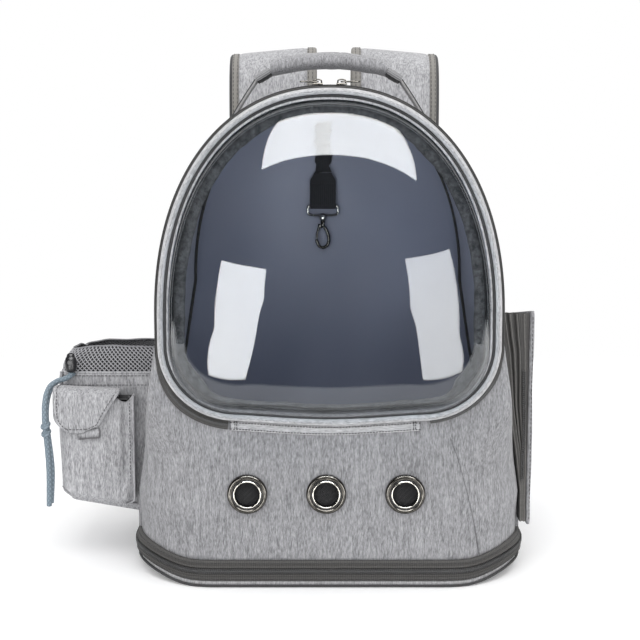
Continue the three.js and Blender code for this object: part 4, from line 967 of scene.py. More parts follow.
@dataclass
class CanvasBody:
    """The padded canvas walls: front, gusset, back and the slate cabin inside them."""

    form: BodyForm = field(default_factory=BodyForm)
    door: DoorForm = field(default_factory=DoorForm)
    panel_end: float = -75.0
    gusset_end: float = 122.0
    opening: float = -8.0
    vent_x: tuple[float, ...] = (-70.6, -2.6, 65.4)
    vent_z: float = 83.0
    vent_cut: float = 14.0
    channel: float = 38.0
    front_hub: float = 170.0
    hub: float = 215.0
    seam_line: Profile = ((104, 132), (113, 105), (121, 75), (127, 48), (131, 26))

    def slack(self, at: Vector) -> float:
        """How far the cloth swells out at a point, in millimetres."""
        soft = 0.75 * ripple(at, 85, 3.1) + 0.35 * ripple(at, 34, 9.7)
        pull = 0.0
        for x in self.vent_x:
            away = math.hypot(at.x - x, at.z - self.vent_z)
            pull -= 0.6 * bump(away - 20, 9)
        under = abs(at.z - 132) / 12
        gather = 0.7 * math.exp(-under * under) * ripple(Vector((at.x * 2.2, 0, at.z * 0.35)), 22, 5.0)
        return soft + pull + (gather if abs(at.x) < 100 and at.y < -130 else 0.0)

    def front(self) -> None:
        """The front with its rounded corners, its doorway and the holes for the vents."""
        form, draft = self.form, Draft()
        edges = form.outline(form.foot)
        half = form.half(form.foot) - form.corner(form.foot)
        flat = [form.rested(e, -form.corner(e.z), form.front) for e in edges]
        flat += [form.settled(mix(half, -half, t), form.front, form.foot) for t in spread(0, 1, 54)[1:-1]]
        hub = Vector((0, form.front, self.front_hub))
        doorway = self.door.outline(self.opening)

        def cloth(middle: Vector) -> bool:
            """Keep what lies outside the doorway and the vents."""
            if any(math.hypot(middle.x - x, middle.z - self.vent_z) < self.vent_cut for x in self.vent_x):
                return False
            return not inside(middle.x, middle.z, doorway)

        draft.grid([[p + FRONT_OUT * self.slack(p) * smooth((1 - share) * 9 + 0.2)
                     for p in (hub.lerp(p, share) for p in flat)] for share in spread(0.02, 1, 54)],
                   loop_points=True, keep=cloth)
        wraps = []
        for turn in spread(0, math.pi / 2, 11):
            ring = []
            for e in edges:
                r = form.corner(e.z)
                at = form.rested(e, -r * (1 - math.sin(turn)), form.front + r * (1 - math.cos(turn)))
                way = e.normal * math.sin(turn) + FRONT_OUT * math.cos(turn)
                ring.append(at + way * self.slack(at) * (0.35 if turn else 0.2))
            wraps.append(ring)
        for y in spread(-80, self.panel_end, 3):
            depths = [mix(form.front + form.corner(e.z), self.panel_end, clamp((y + 86) / 11)) for e in edges]
            starts = [form.rested(e, 0, depth) for e, depth in zip(edges, depths)]
            wraps.append([at + e.normal * self.slack(at) * 0.35 for e, at in zip(edges, starts)])
        draft.grid(wraps)
        line = rail([Vector((x, form.front - 0.35, z)) for x, z in self.seam_line], 10)
        line = [Vector((p.x, form.front - 0.35 + self.front_bend(p), p.z)) for p in line]
        draft.make("front_canvas", "heather", HEATHER, stands_for="front_shell", weld=0.05, lift=2.4)
        Draft().tube(line, 0.45, sides=6, taper=lambda s: 0.45 + 0.55 * smooth((s - 0.6) / 0.3)).make(
            "front_corner_seam", "binding", THREAD)

    def front_bend(self, at: Vector) -> float:
        """How far the rounded corner has turned back at a point of the front's corner seam."""
        form = self.form
        edge = form.half(at.z) - form.corner(at.z)
        over = max(0.0, at.x - edge)
        r = form.corner(at.z)
        return r - math.sqrt(max(0.0, r * r - over * over)) - self.slack(at) * 0.5

    def gusset(self) -> None:
        """The band of canvas over the sides and the top, with a corded seam at each edge."""
        form, rows = self.form, []
        edges = form.outline(form.foot)
        for y in spread(self.panel_end, self.gusset_end, 46):
            edge = min(y - self.panel_end, self.gusset_end - y)
            dip = -0.9 * math.exp(-edge / 2.5)
            starts = [form.rested(e, 0, y) for e in edges]
            rows.append([at + e.normal * (dip + self.slack(at) * smooth(edge / 20))
                         for e, at in zip(edges, starts)])
        Draft().grid(rows).make("gusset_canvas", "heather", HEATHER, stands_for="gusset", lift=2.4)
        piping, thread, sew = Draft(), Draft(), Stitching(pitch=4.5, length=3)
        for y, inner in ((self.panel_end, self.panel_end + 4), (self.gusset_end, self.gusset_end - 4)):
            piping.tube([form.rested(e, 0.2, y) for e in edges], 1.3, sides=8)
            sew.sew(thread, [form.rested(e, 0.2, inner) for e in edges],
                    lambda p: Vector((p.x, 0, max(0.0, p.z - form.spring) * 0.9)))
        piping.make("gusset_piping", "heather", HEATHER)
        thread.make("gusset_stitching", "heather", PALE_HEATHER)

    def quilt(self, at: Vector) -> float:
        """How deep the back panel's sewn channels press in at a point."""
        deep = 0.0
        for x in (-self.channel, self.channel):
            deep += 3.2 * bump(at.x - x, 3.5) * smooth((at.z - 60) / 25) * smooth((385 - at.z) / 25)
        for z in (70, 205, 345):
            deep += 2.6 * bump(at.z - z, 3.5) * smooth((118 - abs(at.x)) / 20)
        return deep

    def back(self) -> None:
        """The padded back with its sewn channels."""
        form, draft = self.form, Draft()
        stops = ((0.0, 122.3), (0.0, 128.0), (1.2, 132.5), (4.0, 136.6), (8.0, 139.0), (12.0, 139.9))
        rings = [form.loop(form.foot, inset, y) for inset, y in stops]
        edge = rings[-1]
        hub = Vector((0, edge[0].y, self.hub))
        for share in spread(0.97, 0.02, 46):
            ring = [hub.lerp(p, share) for p in edge]
            near = smooth((1 - share) * 12)
            rings.append([at + Vector((0, 0.5 * ripple(at, 60, 2.0) * near - self.quilt(at) - 0.5, 0))
                          for at in ring])
        draft.grid(rings, loop_points=True).cap(rings[-1])
        draft.make("back_padding", "heather", HEATHER, stands_for="back_panel")
        thread, sew = Draft(), Stitching(pitch=4.2, length=3)
        for x in (-self.channel, self.channel):
            sew.sew(thread, [Vector((x, 137.0, z)) for z in spread(66, 380, 60)], -FRONT_OUT)
        thread.make("back_stitching", "heather", PALE_HEATHER)

    def cabin(self) -> None:
        """The slate lining: side walls, floor and back wall, with a bound seam round the back in painted
        shade.
        """
        form, foot, rings = self.form, 6.6, []
        for y in [*spread(-136.5, -78, 14), *spread(-70, 120.8, 26)]:
            rings.append([p + Vector((-p.x, 0, self.hub - p.z)).normalized()
                          * (0.9 + 0.8 * ripple(p, 70, 4.0)) * smooth((p.z - 20) / 30)
                          for p in form.loop(foot, 4.6, y, rounded=True)])
        edge = rings[-1]
        hub = Vector((0, 120.9, self.hub))
        for share in spread(0.975, 0.02, 30):
            ring = [hub.lerp(p, share) for p in edge]
            rings.append([Vector((at.x, 120.2 - 0.7 * ripple(at, 95, 6.0), at.z)) for at in ring])
        Draft().grid(rings, loop_points=True).cap(rings[-1]).make(
            "cabin_lining", "lining", LINING, stands_for="lining")
        line = [form.settled(e.x - e.nx * 6.6, 118.6, e.z - e.nz * 6.6) for e in form.outline(foot)]
        # The seam binding takes the darker nap, painted shade in the back corner.
        Draft().tube(line, 1.7, sides=8).make("cabin_seam_binding", "lining", SHADED_NAP)

    def base(self) -> None:
        """The flat base: a pale edge strip and the underside, which curls up under its sides."""
        wall = ((-1.5, 5.0), (-0.3, 4.9), (0.0, 4.2), (0.0, 0.9), (-0.9, 0.1))
        draft = Draft().grid(self.form.band(wall), loop_points=True)
        under = []
        for share in spread(1, 0.03, 26):
            ring = [self.form.settled(p.x * share, p.y * share, 0.1) for p in self.form.band(wall[-1:])[0]]
            under.append([Vector((at.x, at.y, max(0.0, at.z - 0.1) + 0.02)) for at in ring])
        draft.grid(under, loop_points=True, slot=1)
        draft.make("base_canvas", "heather", BAND_HEATHER, DARK_BINDING, stands_for="base_tray", weld=0.05)

    def build(self) -> None:
        """Build every wall."""
        self.front()
        self.gusset()
        self.back()
        self.cabin()
        self.base()


@dataclass
class BaseZip:
    """The zipped band round the base: dark tape with a ridge each side of its coil, and the corded edge."""

    form: BodyForm = field(default_factory=BodyForm)
    foot: float = 5.6
    top: float = 23.7
    proud: float = 2.0
    chain_z: float = 14.4
    section: Profile = (
        (-1.0, 5.6), (1.2, 5.6), (1.9, 6.4), (1.9, 8.6), (1.5, 9.2), (1.5, 9.9), (2.3, 10.4), (2.3, 11.2),
        (1.2, 11.8), (1.2, 17.0), (2.3, 17.6), (2.3, 18.4), (1.5, 18.9), (1.5, 19.8), (2.0, 20.4),
        (1.9, 22.4), (1.2, 23.7), (-1.0, 23.7),
    )

    def build(self) -> None:
        """Tape, coil and piping."""
        form = self.form

        def ring(out: float, z: float) -> Row:
            """A closed line round the base."""
            return [form.settled(x, y, z) for x, y in form.plan(out)]

        Draft().grid(form.band(self.section), loop_points=True).make(
            "base_zip_tape", "binding", ZIP_TAPE, stands_for="expansion_tape")
        line = ring(self.proud + 0.1, self.chain_z)
        line.append(line[0])
        outs = [Vector((b.y - a.y, a.x - b.x, 0)).normalized() for a, b in zip(line, line[1:])]
        ZipCoil(1.7, (0.5, 0.75, 1.5), 0.75).lay(line, outs).make(
            "base_zip_coil", "binding", COIL, stands_for="expansion_chain", soft=False)
        Draft().tube(ring(1.6, 1.4), 1.15, sides=8, closed=True).make(
            "base_edge_piping", "binding", DARK_BINDING, stands_for="base_piping")
        thread = Draft()
        for z in (7.4, 21.6):
            row = ring(self.proud, z)
            Stitching(pitch=3.4, length=2.2, radius=0.28).sew(
                thread, row + row[:1], lambda p: Vector((p.x, p.y, 0)))
        thread.make("base_zip_stitching", "binding", DARK_BINDING)


@dataclass
class Vents:
    """Three turned steel eyelets: an outer roll, a groove and inner barrel in painted shade, and an inner lip
    with a painted highlight, with net behind.
    """

    centres: tuple[tuple[str, float], ...] = (("left", -70.6), ("middle", -2.6), ("right", 65.4))
    height: float = 83.0
    face: float = -140.3
    mesh: float = 1.5
    reach: float = 14.4
    # Slot 0 is the plated roll; slot 1, the groove and the inner barrel, is painted shade in the black acetal
    # colour; slot 2, the inner lip, is a painted highlight in the lighter copy of the plating.
    rolls: tuple[tuple[int, Profile], ...] = (
        (0, ((17.3, 0.0), (17.3, 1.0), (16.9, 2.1), (16.2, 2.8), (15.3, 3.1), (14.4, 2.9), (13.7, 2.2))),
        (1, ((13.7, 2.2), (13.2, 1.5), (12.8, 1.5), (12.5, 2.0))),
        (2, ((12.5, 2.0), (12.3, 2.7), (11.8, 3.2), (11.3, 3.3), (10.9, 2.9), (10.8, 2.0))),
        (1, ((10.8, 2.0), (10.8, -3.3), (12.2, -3.3), (12.2, 0.0), (17.3, 0.0))),
    )

    def build(self) -> None:
        """Turn each eyelet and its net."""
        for side, x in self.centres:
            at = Vector((x, self.face, self.height))
            ring = Draft()
            for slot, profile in self.rolls:
                ring.lathe(profile, at, FRONT_OUT, 64, slot=slot)
            # The groove and barrel carry painted shade and the lip a painted highlight.
            ring.make(f"eyelet_{side}", "gunmetal", PLATED, ACETAL, PLATED_HIGHLIGHT,
                      stands_for=f"vent_ring_{side}", weld=0.02)
            net, back = Draft(), self.face + 3.6
            for i in range(1, int(2 * self.reach / self.mesh)):
                u = i * self.mesh - self.reach
                half = math.sqrt(max(0.0, self.reach * self.reach - u * u))
                for turn in (math.pi / 4, -math.pi / 4):
                    way = Vector((math.cos(turn), 0, math.sin(turn)))
                    middle = Vector((x, back + 0.3, self.height)) + Vector((-way.z, 0, way.x)) * u
                    net.tube([middle - way * half, middle + way * half], 0.3, sides=4)
            net.lathe(((0.01, -0.9), (14.6, -0.9), (14.8, -0.5), (14.8, 0.0), (14.2, 0.2)),
                      Vector((x, back, self.height)), FRONT_OUT, 32)
            net.make(f"vent_net_{side}", "webbing", NET, stands_for=f"vent_mesh_{side}")


# Door


@dataclass
class BubbleDoor:
    """The zipped door: a bound canvas rim, its zip, the clear dome and the sewn hinge below it."""

    form: DoorForm = field(default_factory=DoorForm)
    base: float = -140.3
    dome_face: float = -141.8
    dome_back: float = -140.3
    sheet: float = 1.3
    tape_end: float = -85.0
    tape_restart: float = 86.0
    hinge_left: float = -84.0
    hinge_right: float = 77.0
    overlap: float = -2.0
    half_way: float = 180.0
    slide_y: float = -139.26
    pull_z: float = 434.1

    def rim(self) -> None:
        """The canvas rim rolled over the dome's edge, with its two ends lapped at the foot."""
        profile = ((0.3, self.base), (0.35, -142.6), (0.0, -144.9), (-0.8, -146.3), (-2.0, -146.9),
                   (-3.3, -146.8), (-4.3, -146.0), (-4.9, -144.8), (-5.1, -143.2), (-5.2, self.base))

        def section(edge: Edge, share: float) -> list[tuple[float, float]]:
            """A section that wavers a little, as sewn canvas does."""
            wave = 0.16 * ripple(Vector((edge.x, 0, edge.z)), 24, 8.0)
            return [(out + wave * (out < -0.5), y - wave * (y < -142)) for out, y in profile]

        Draft().grid(self.form.ring(section), loop_rows=True, loop_points=True).make(
            "door_rim_canvas", "heather", BAND_HEATHER, stands_for="door_rim")
        part = [e for e in self.form.outline() if self.overlap < e.x < 30 and e.z < self.half_way]

        def lapped(edge: Edge, share: float) -> list[tuple[float, float]]:
            """The upper of the two ends, a cloth's thickness proud."""
            step = 0.55 * smooth(1.25 - share)
            return [(0.3 + step * 0.5, self.base), (0.35 + step, -144.9), (-0.8 + step * 0.4, -146.4 - step),
                    (-2.4, -146.9 - step), (-4.3 - step * 0.3, -146.0 - step * 0.6),
                    (-5.1 - step * 0.5, -143.0), (-5.2, self.base)]

        Draft().bar(self.form.ring(lapped, part)).make("door_rim_lap", "heather", BAND_HEATHER)

    def edging(self) -> None:
        """The groove inside the rim, a dark strip of painted shade, the piping, and their stitches."""
        edges = self.form.outline()
        # A dark strip of painted shade fills the gap between the rim and the piping.
        profile = ((-5.15, -141.9), (-5.2, -143.6), (-6.2, -143.9), (-7.4, -143.3), (-7.5, -141.9))
        Draft().grid(self.form.ring(lambda edge, share: profile), loop_rows=True, loop_points=True).make(
            "door_groove_painted_shade", "binding", DARK_BINDING)
        Draft().tube([e.moved(-8.55, -143.05) for e in edges], 0.95, sides=10, closed=True).make(
            "door_piping_cord", "heather", PALE_HEATHER, stands_for="door_piping")
        line = [e.moved(-2.6, -146.95) for e in edges]
        Stitching(pitch=3.4, length=2.2, radius=0.26).sew(Draft(), line + line[:1], FRONT_OUT).make(
            "door_rim_stitching", "heather", PALE_HEATHER)

    def tape_section(self, edge: Edge) -> list[tuple[float, float]]:
        """The zip tape's section: lying on the front below, turned round the body's edge above."""
        low = smooth((220 - edge.z) / 60)
        reach = mix(0.0, smooth((abs(edge.x) - 60) / 22), low)
        flat_reach = mix(8.6, 3.4 if edge.x > 0 else 8.6, low)
        lying = [(0.6, -140.35), (0.6, -141.9), (flat_reach * 0.45, -142.0), (flat_reach * 0.52, -142.6),
                 (flat_reach * 0.6, -142.0), (flat_reach, -141.9), (flat_reach, -140.35),
                 (flat_reach / 2, -140.3)]
        turned = [(0.5, -134.2), (0.5, -144.4), (1.0, -144.7), (1.6, -141.0), (2.3, -140.4), (1.6, -139.8),
                  (1.5, -134.2), (1.0, -133.9)]
        return [(mix(a, c, low) * (reach if low > 0.99 else 1.0), mix(b, d, low))
                for (a, b), (c, d) in zip(turned, lying)]

    def zip(self) -> None:
        """Zip tape and coil, round all of the door but its sewn foot."""
        edges = self.form.outline()
        start = next(i for i, e in enumerate(edges) if e.z > self.half_way)
        ordered = edges[start:] + edges[:start]
        low_end = self.half_way - 2
        part = [e for e in ordered if not (self.tape_end < e.x < self.tape_restart and e.z < low_end)]
        first = next(i for i, e in enumerate(part) if e.x > 0 and e.z < low_end)
        part = part[first:] + part[:first]
        Draft().bar([[e.moved(out, y) for out, y in self.tape_section(e)] for e in part]).make(
            "door_zip_tape_woven", "binding", ZIP_TAPE, stands_for="door_zip_tape")
        line, outs = [], []
        for e in part:
            section = self.tape_section(e)
            out, y = section[3] if e.z < 200 else section[4]
            line.append(e.moved(out, y))
            low = smooth((220 - e.z) / 60)
            outs.append(Vector((e.nx * (1 - low), -low, e.nz * (1 - low))).normalized())
        ZipCoil().lay(line, outs).make("door_zip_coil", "binding", COIL, soft=False)

    def hinge(self) -> None:
        """The sewn flap that the door swings on, with a turned and stitched end at each side."""
        rows, left, right = [], self.hinge_left, self.hinge_right
        part = [e for e in self.form.outline() if left <= e.x <= right and e.z < self.half_way]
        part.sort(key=lambda e: e.x)
        ends = [Edge(x, self.form.foot_at(x), 0, -1) for x in (left, right)]
        part = [ends[0], *part, ends[1]]
        for e in part:
            wave = 0.25 * ripple(Vector((e.x, 0, 0)), 18, 3.0)
            side = min(e.x - left, right - e.x)
            fold = 0.5 * bump(side - 3, 2.0)
            section = ((0.9, self.base), (0.9, -141.3), (2.2, -141.6 - fold), (5.2, -141.9 - fold - wave),
                       (8.2, -141.7 - fold), (9.4 + wave, -141.2), (9.6 + wave, self.base))
            rows.append([Vector((e.x, y, e.z - out)) for out, y in section])
        Draft().bar(rows).make("door_hinge_cloth", "heather", BAND_HEATHER, stands_for="hinge_flap")
        thread = Draft()
        sew = Stitching(pitch=2.6, length=1.7, radius=0.3)
        for out in (2.4, 8.0):
            sew.sew(thread, [Vector((e.x, -142.05, e.z - out)) for e in part], FRONT_OUT)
        for x in (left + 3.4, left + 5.0, right - 5.0, right - 3.4):
            foot = self.form.foot_at(x)
            sew.sew(thread, [Vector((x, -142.35, foot - out)) for out in (1.4, 9.0)], FRONT_OUT)
        thread.make("door_hinge_stitching", "binding", DARK_BINDING)

    def dome(self) -> None:
        """The clear dome, formed from one sheet, with a flat flange sewn under the rim."""
        form, rise = self.form, self.form.dome_height
        shares = [math.sin(s * math.pi / 2) for s in spread(0.03, 1, 42)]
        rings = [form.dome(s, rise, self.dome_face, 0.0) for s in shares]
        rings += [[e.moved(0, y) for e in form.outline(-5.8)] for y in (self.dome_face, self.dome_back)]
        rings += [form.dome(s, rise - self.sheet, self.dome_back, self.sheet) for s in reversed(shares)]
        Draft().grid(rings, loop_points=True).cap(rings[0]).cap(rings[-1]).make(
            "clear_dome", "clear", CLEAR, stands_for="bubble", weld=0.02)

    def binding(self) -> None:
        """The brushed binding inside the rim, gathered unevenly, and behind the dome a dark strip of painted
        shade.
        """
        deep, nap = [], []
        for e in self.form.outline():
            at = Vector((e.x, 0, e.z))
            wave = ripple(at, 26, 1.0)
            rough = ripple(at, 8, 4.0)
            low = smooth((215 - e.z) / 50) * smooth((abs(e.x) - 50) / 60)
            end = -22.6 - 1.4 * wave - 0.8 * rough + 6.0 * smooth((165 - e.z) / 12) - 1.6 * low
            start = -12.6 - 1.6 * wave
            rise = 1.1 * ripple(at, 13, 7.0) + 0.5 * rough
            nap.append([e.moved(out, y) for out, y in (
                (start, -136.2), (start - 0.6, -137.6 - rise * 0.4), ((start + end) / 2, -138.3 - rise * 0.8),
                (end + 1.2, -137.9 - rise * 0.7), (end, -136.8), (end + 0.6, -135.4), (start, -135.3))])
            # The dark strip in the recess next to the dome's edge is painted shade.
            deep.append([e.moved(out, y) for out, y in (
                (-9.6, -139.9), (-11.2, -139.4), (start + 0.4, -136.4), (start, -135.3), (-9.6, -135.25))])
        Draft().grid(nap, loop_rows=True, loop_points=True).make(
            "dome_seam_nap", "binding", NAP, stands_for="inner_binding")
        Draft().grid(deep, loop_rows=True, loop_points=True).make("dome_seam_shade", "binding", SHADED_NAP)

    def sliders(self) -> None:
        """Two zip sliders at the top of the arch, each with a small pull on a pivot."""
        for side, sign in (("left", -1), ("right", 1)):
            body = Draft()
            x = sign * 10.0
            rings = []
            for t in spread(-1, 1, 9):
                half = 3.1 - 0.9 * abs(t) ** 2 + (0.4 if t * sign < 0 else 0.0)
                rings.append([Vector((x + 4.4 * t, -139.3 + dy * half * 0.94, z)) for dy, z in (
                    (-1, 431.7), (-0.8, 431.55), (0.8, 431.55), (1, 431.7), (1, 432.6), (0.8, 433.0),
                    (-0.8, 433.0), (-1, 432.6))])
            body.bar(rings)
            bridge = [Vector((x + dx, self.slide_y, z)) for dx, z in (
                (-3.2, 432.8), (-3.2, 434.6), (-2.4, 435.5), (0, 435.9), (2.4, 435.5), (3.2, 434.6),
                (3.2, 432.8))]
            body.tube(rail(bridge, 4), 0.6, sides=8)
            body.make(f"slider_{side}", "gunmetal", PLATED, stands_for=f"zip_slider_{side}")
            loop, plate = [], []
            for t in spread(0, 1, 40)[:-1]:
                a = t * 2 * math.pi
                away = (math.cos(a) + 1) / 2
                wide = mix(1.5, 2.0, away) * math.sin(a)
                loop.append(Vector((sign * mix(9.5, 24.4, away), self.slide_y + wide,
                                    self.pull_z + 0.15 * math.sin(a * 3))))
            for t in spread(0, 1, 7):
                px, wide = sign * mix(15.5, 23.8, t), 1.5 + 0.35 * math.sin(t * math.pi)
                plate.append([Vector((px, self.slide_y + dy * wide, self.pull_z + dz * 0.42))
                              for dy, dz in ROUNDED])
            pull = Draft().tube(loop, 0.56, sides=8, closed=True).bar(plate)
            pull.make(f"slider_pull_{side}", "gunmetal", PLATED, stands_for=f"zip_pull_{side}",
                      body=f"zip_pull_{side}")

    def build(self) -> None:
        """Build the whole door."""
        self.rim()
        self.edging()
        self.zip()
        self.hinge()
        self.dome()
        self.binding()
        self.sliders()


# Carrying


@dataclass
class PaddedHandle:
    """The carrying handle: a padded grip, stitched cuffs that are grey above with painted shade below, and
    flat webbing legs sewn to the top.
    """

    form: BodyForm = field(default_factory=BodyForm)
    top: float = 457.0
    drop: float = 7.0
    half: float = 54.0
    radius: float = 8.2
    depth: float = 14.0
    foot: float = 100.6
    creases: Profile = ((-0.82, 0.6), (-0.6, 0.4), (-0.28, 0.35), (0.2, 0.4), (0.55, 0.45), (0.85, 0.6))
    leg: Profile = (
        (-1, -0.8), (-0.96, -1.2), (0.96, -1.2), (1, -0.8), (1, 0.8), (0.96, 1.2), (0.35, 1.25),
        (0.3, 0.9), (0.25, 1.25), (-0.25, 1.25), (-0.3, 0.9), (-0.35, 1.25), (-0.96, 1.2), (-1, 0.8))

    def grip(self) -> None:
        """The grip: canvas round foam, creased where it bends."""
        rings = []
        for s in spread(-1, 1, 61):
            x, z = s * self.half, self.top - self.drop * s * s
            deep = self.depth + 2.6 * (1 - s * s)
            crease = sum(size * bump(s - at, 0.028) for at, size in self.creases)
            ring = []
            for c, n in circle(28):
                under = 1.0 if n > 0 else 0.9
                puff = 0.8 * ripple(Vector((x, deep * c * 9, z + n * 30)), 14, 5.0)
                r = self.radius * under - crease * (0.6 + 0.4 * n) + puff
                ring.append(Vector((x, (deep - crease) * squared(c, 0.8), z + r * squared(n, 0.85))))
            rings.append(ring)
        padding = Draft().bar(rings).make("handle_padding", "heather", HEATHER, stands_for="handle_grip")

    def ends(self) -> None:
        """The cuffs and the legs."""
        for side, sign in (("left", -1), ("right", 1)):
            cuff, rings = Draft(), []
            lean = Vector((sign * 0.51, 0, 0.86))
            for t in spread(0, 1, 9):
                x, z, half = sign * mix(54.2, 67.2, t), mix(447.4, 439.6, t), mix(16, 14.6, t)
                r = 4.6 - 0.7 * abs(t * 2 - 1) ** 4 + 0.25 * math.sin(t * 20)
                rings.append([Vector((x, half * squared(c, 0.6), z)) + lean * r * squared(n, 0.8)
                              for c, n in circle(16)])
            cuff.bar(rings)
            # The lower half of each cuff takes the dark binding as painted shade; the upper half is the grey
            # binding.
            cuff.slots = [int(f[0] % 16 > 8) for f in cuff.faces]
            cuff.make(f"handle_cuff_cloth_{side}", "binding", GREY_BINDING, DARK_BINDING,
                      stands_for=f"handle_cuff_{side}")
            foot = Vector((sign * self.foot, 0, self.form.arch_height(self.foot) + 1.0))
            head = Vector((sign * 67.4, 0, 439.6))
            way = (foot - head).normalized()
            out = Vector((-way.z * sign, 0, way.x * sign))
            if out.z < 0:
                out = -out
            sections, line = [], []
            for t in spread(0, 1, 22):
                at = head.lerp(foot, t) + out * (1.2 * math.sin(t * math.pi) - 0.4)
                half = 14 - 0.4 * math.sin(t * math.pi)
                sections.append([at + Vector((0, y * half, 0)) + out * h for y, h in self.leg])
                line.append(at + Vector((0, -half - 0.05, 0)) + out * 1.15)
            Draft().bar(sections).make(
                f"handle_leg_{side}", "heather", LEG_WEBBING, stands_for=f"handle_strap_{side}")
            Draft().tube(line, 0.5, sides=6).make(f"handle_leg_edge_{side}", "binding", DARK_BINDING)

    def build(self) -> None:
        """Build the grip and both ends."""
        self.grip()
        self.ends()


@dataclass(frozen=True)
class Station:
    """A place along a shoulder strap: how far back and up it stands, and how much its outer edge hangs."""

    back: float
    rise: float
    roll: float


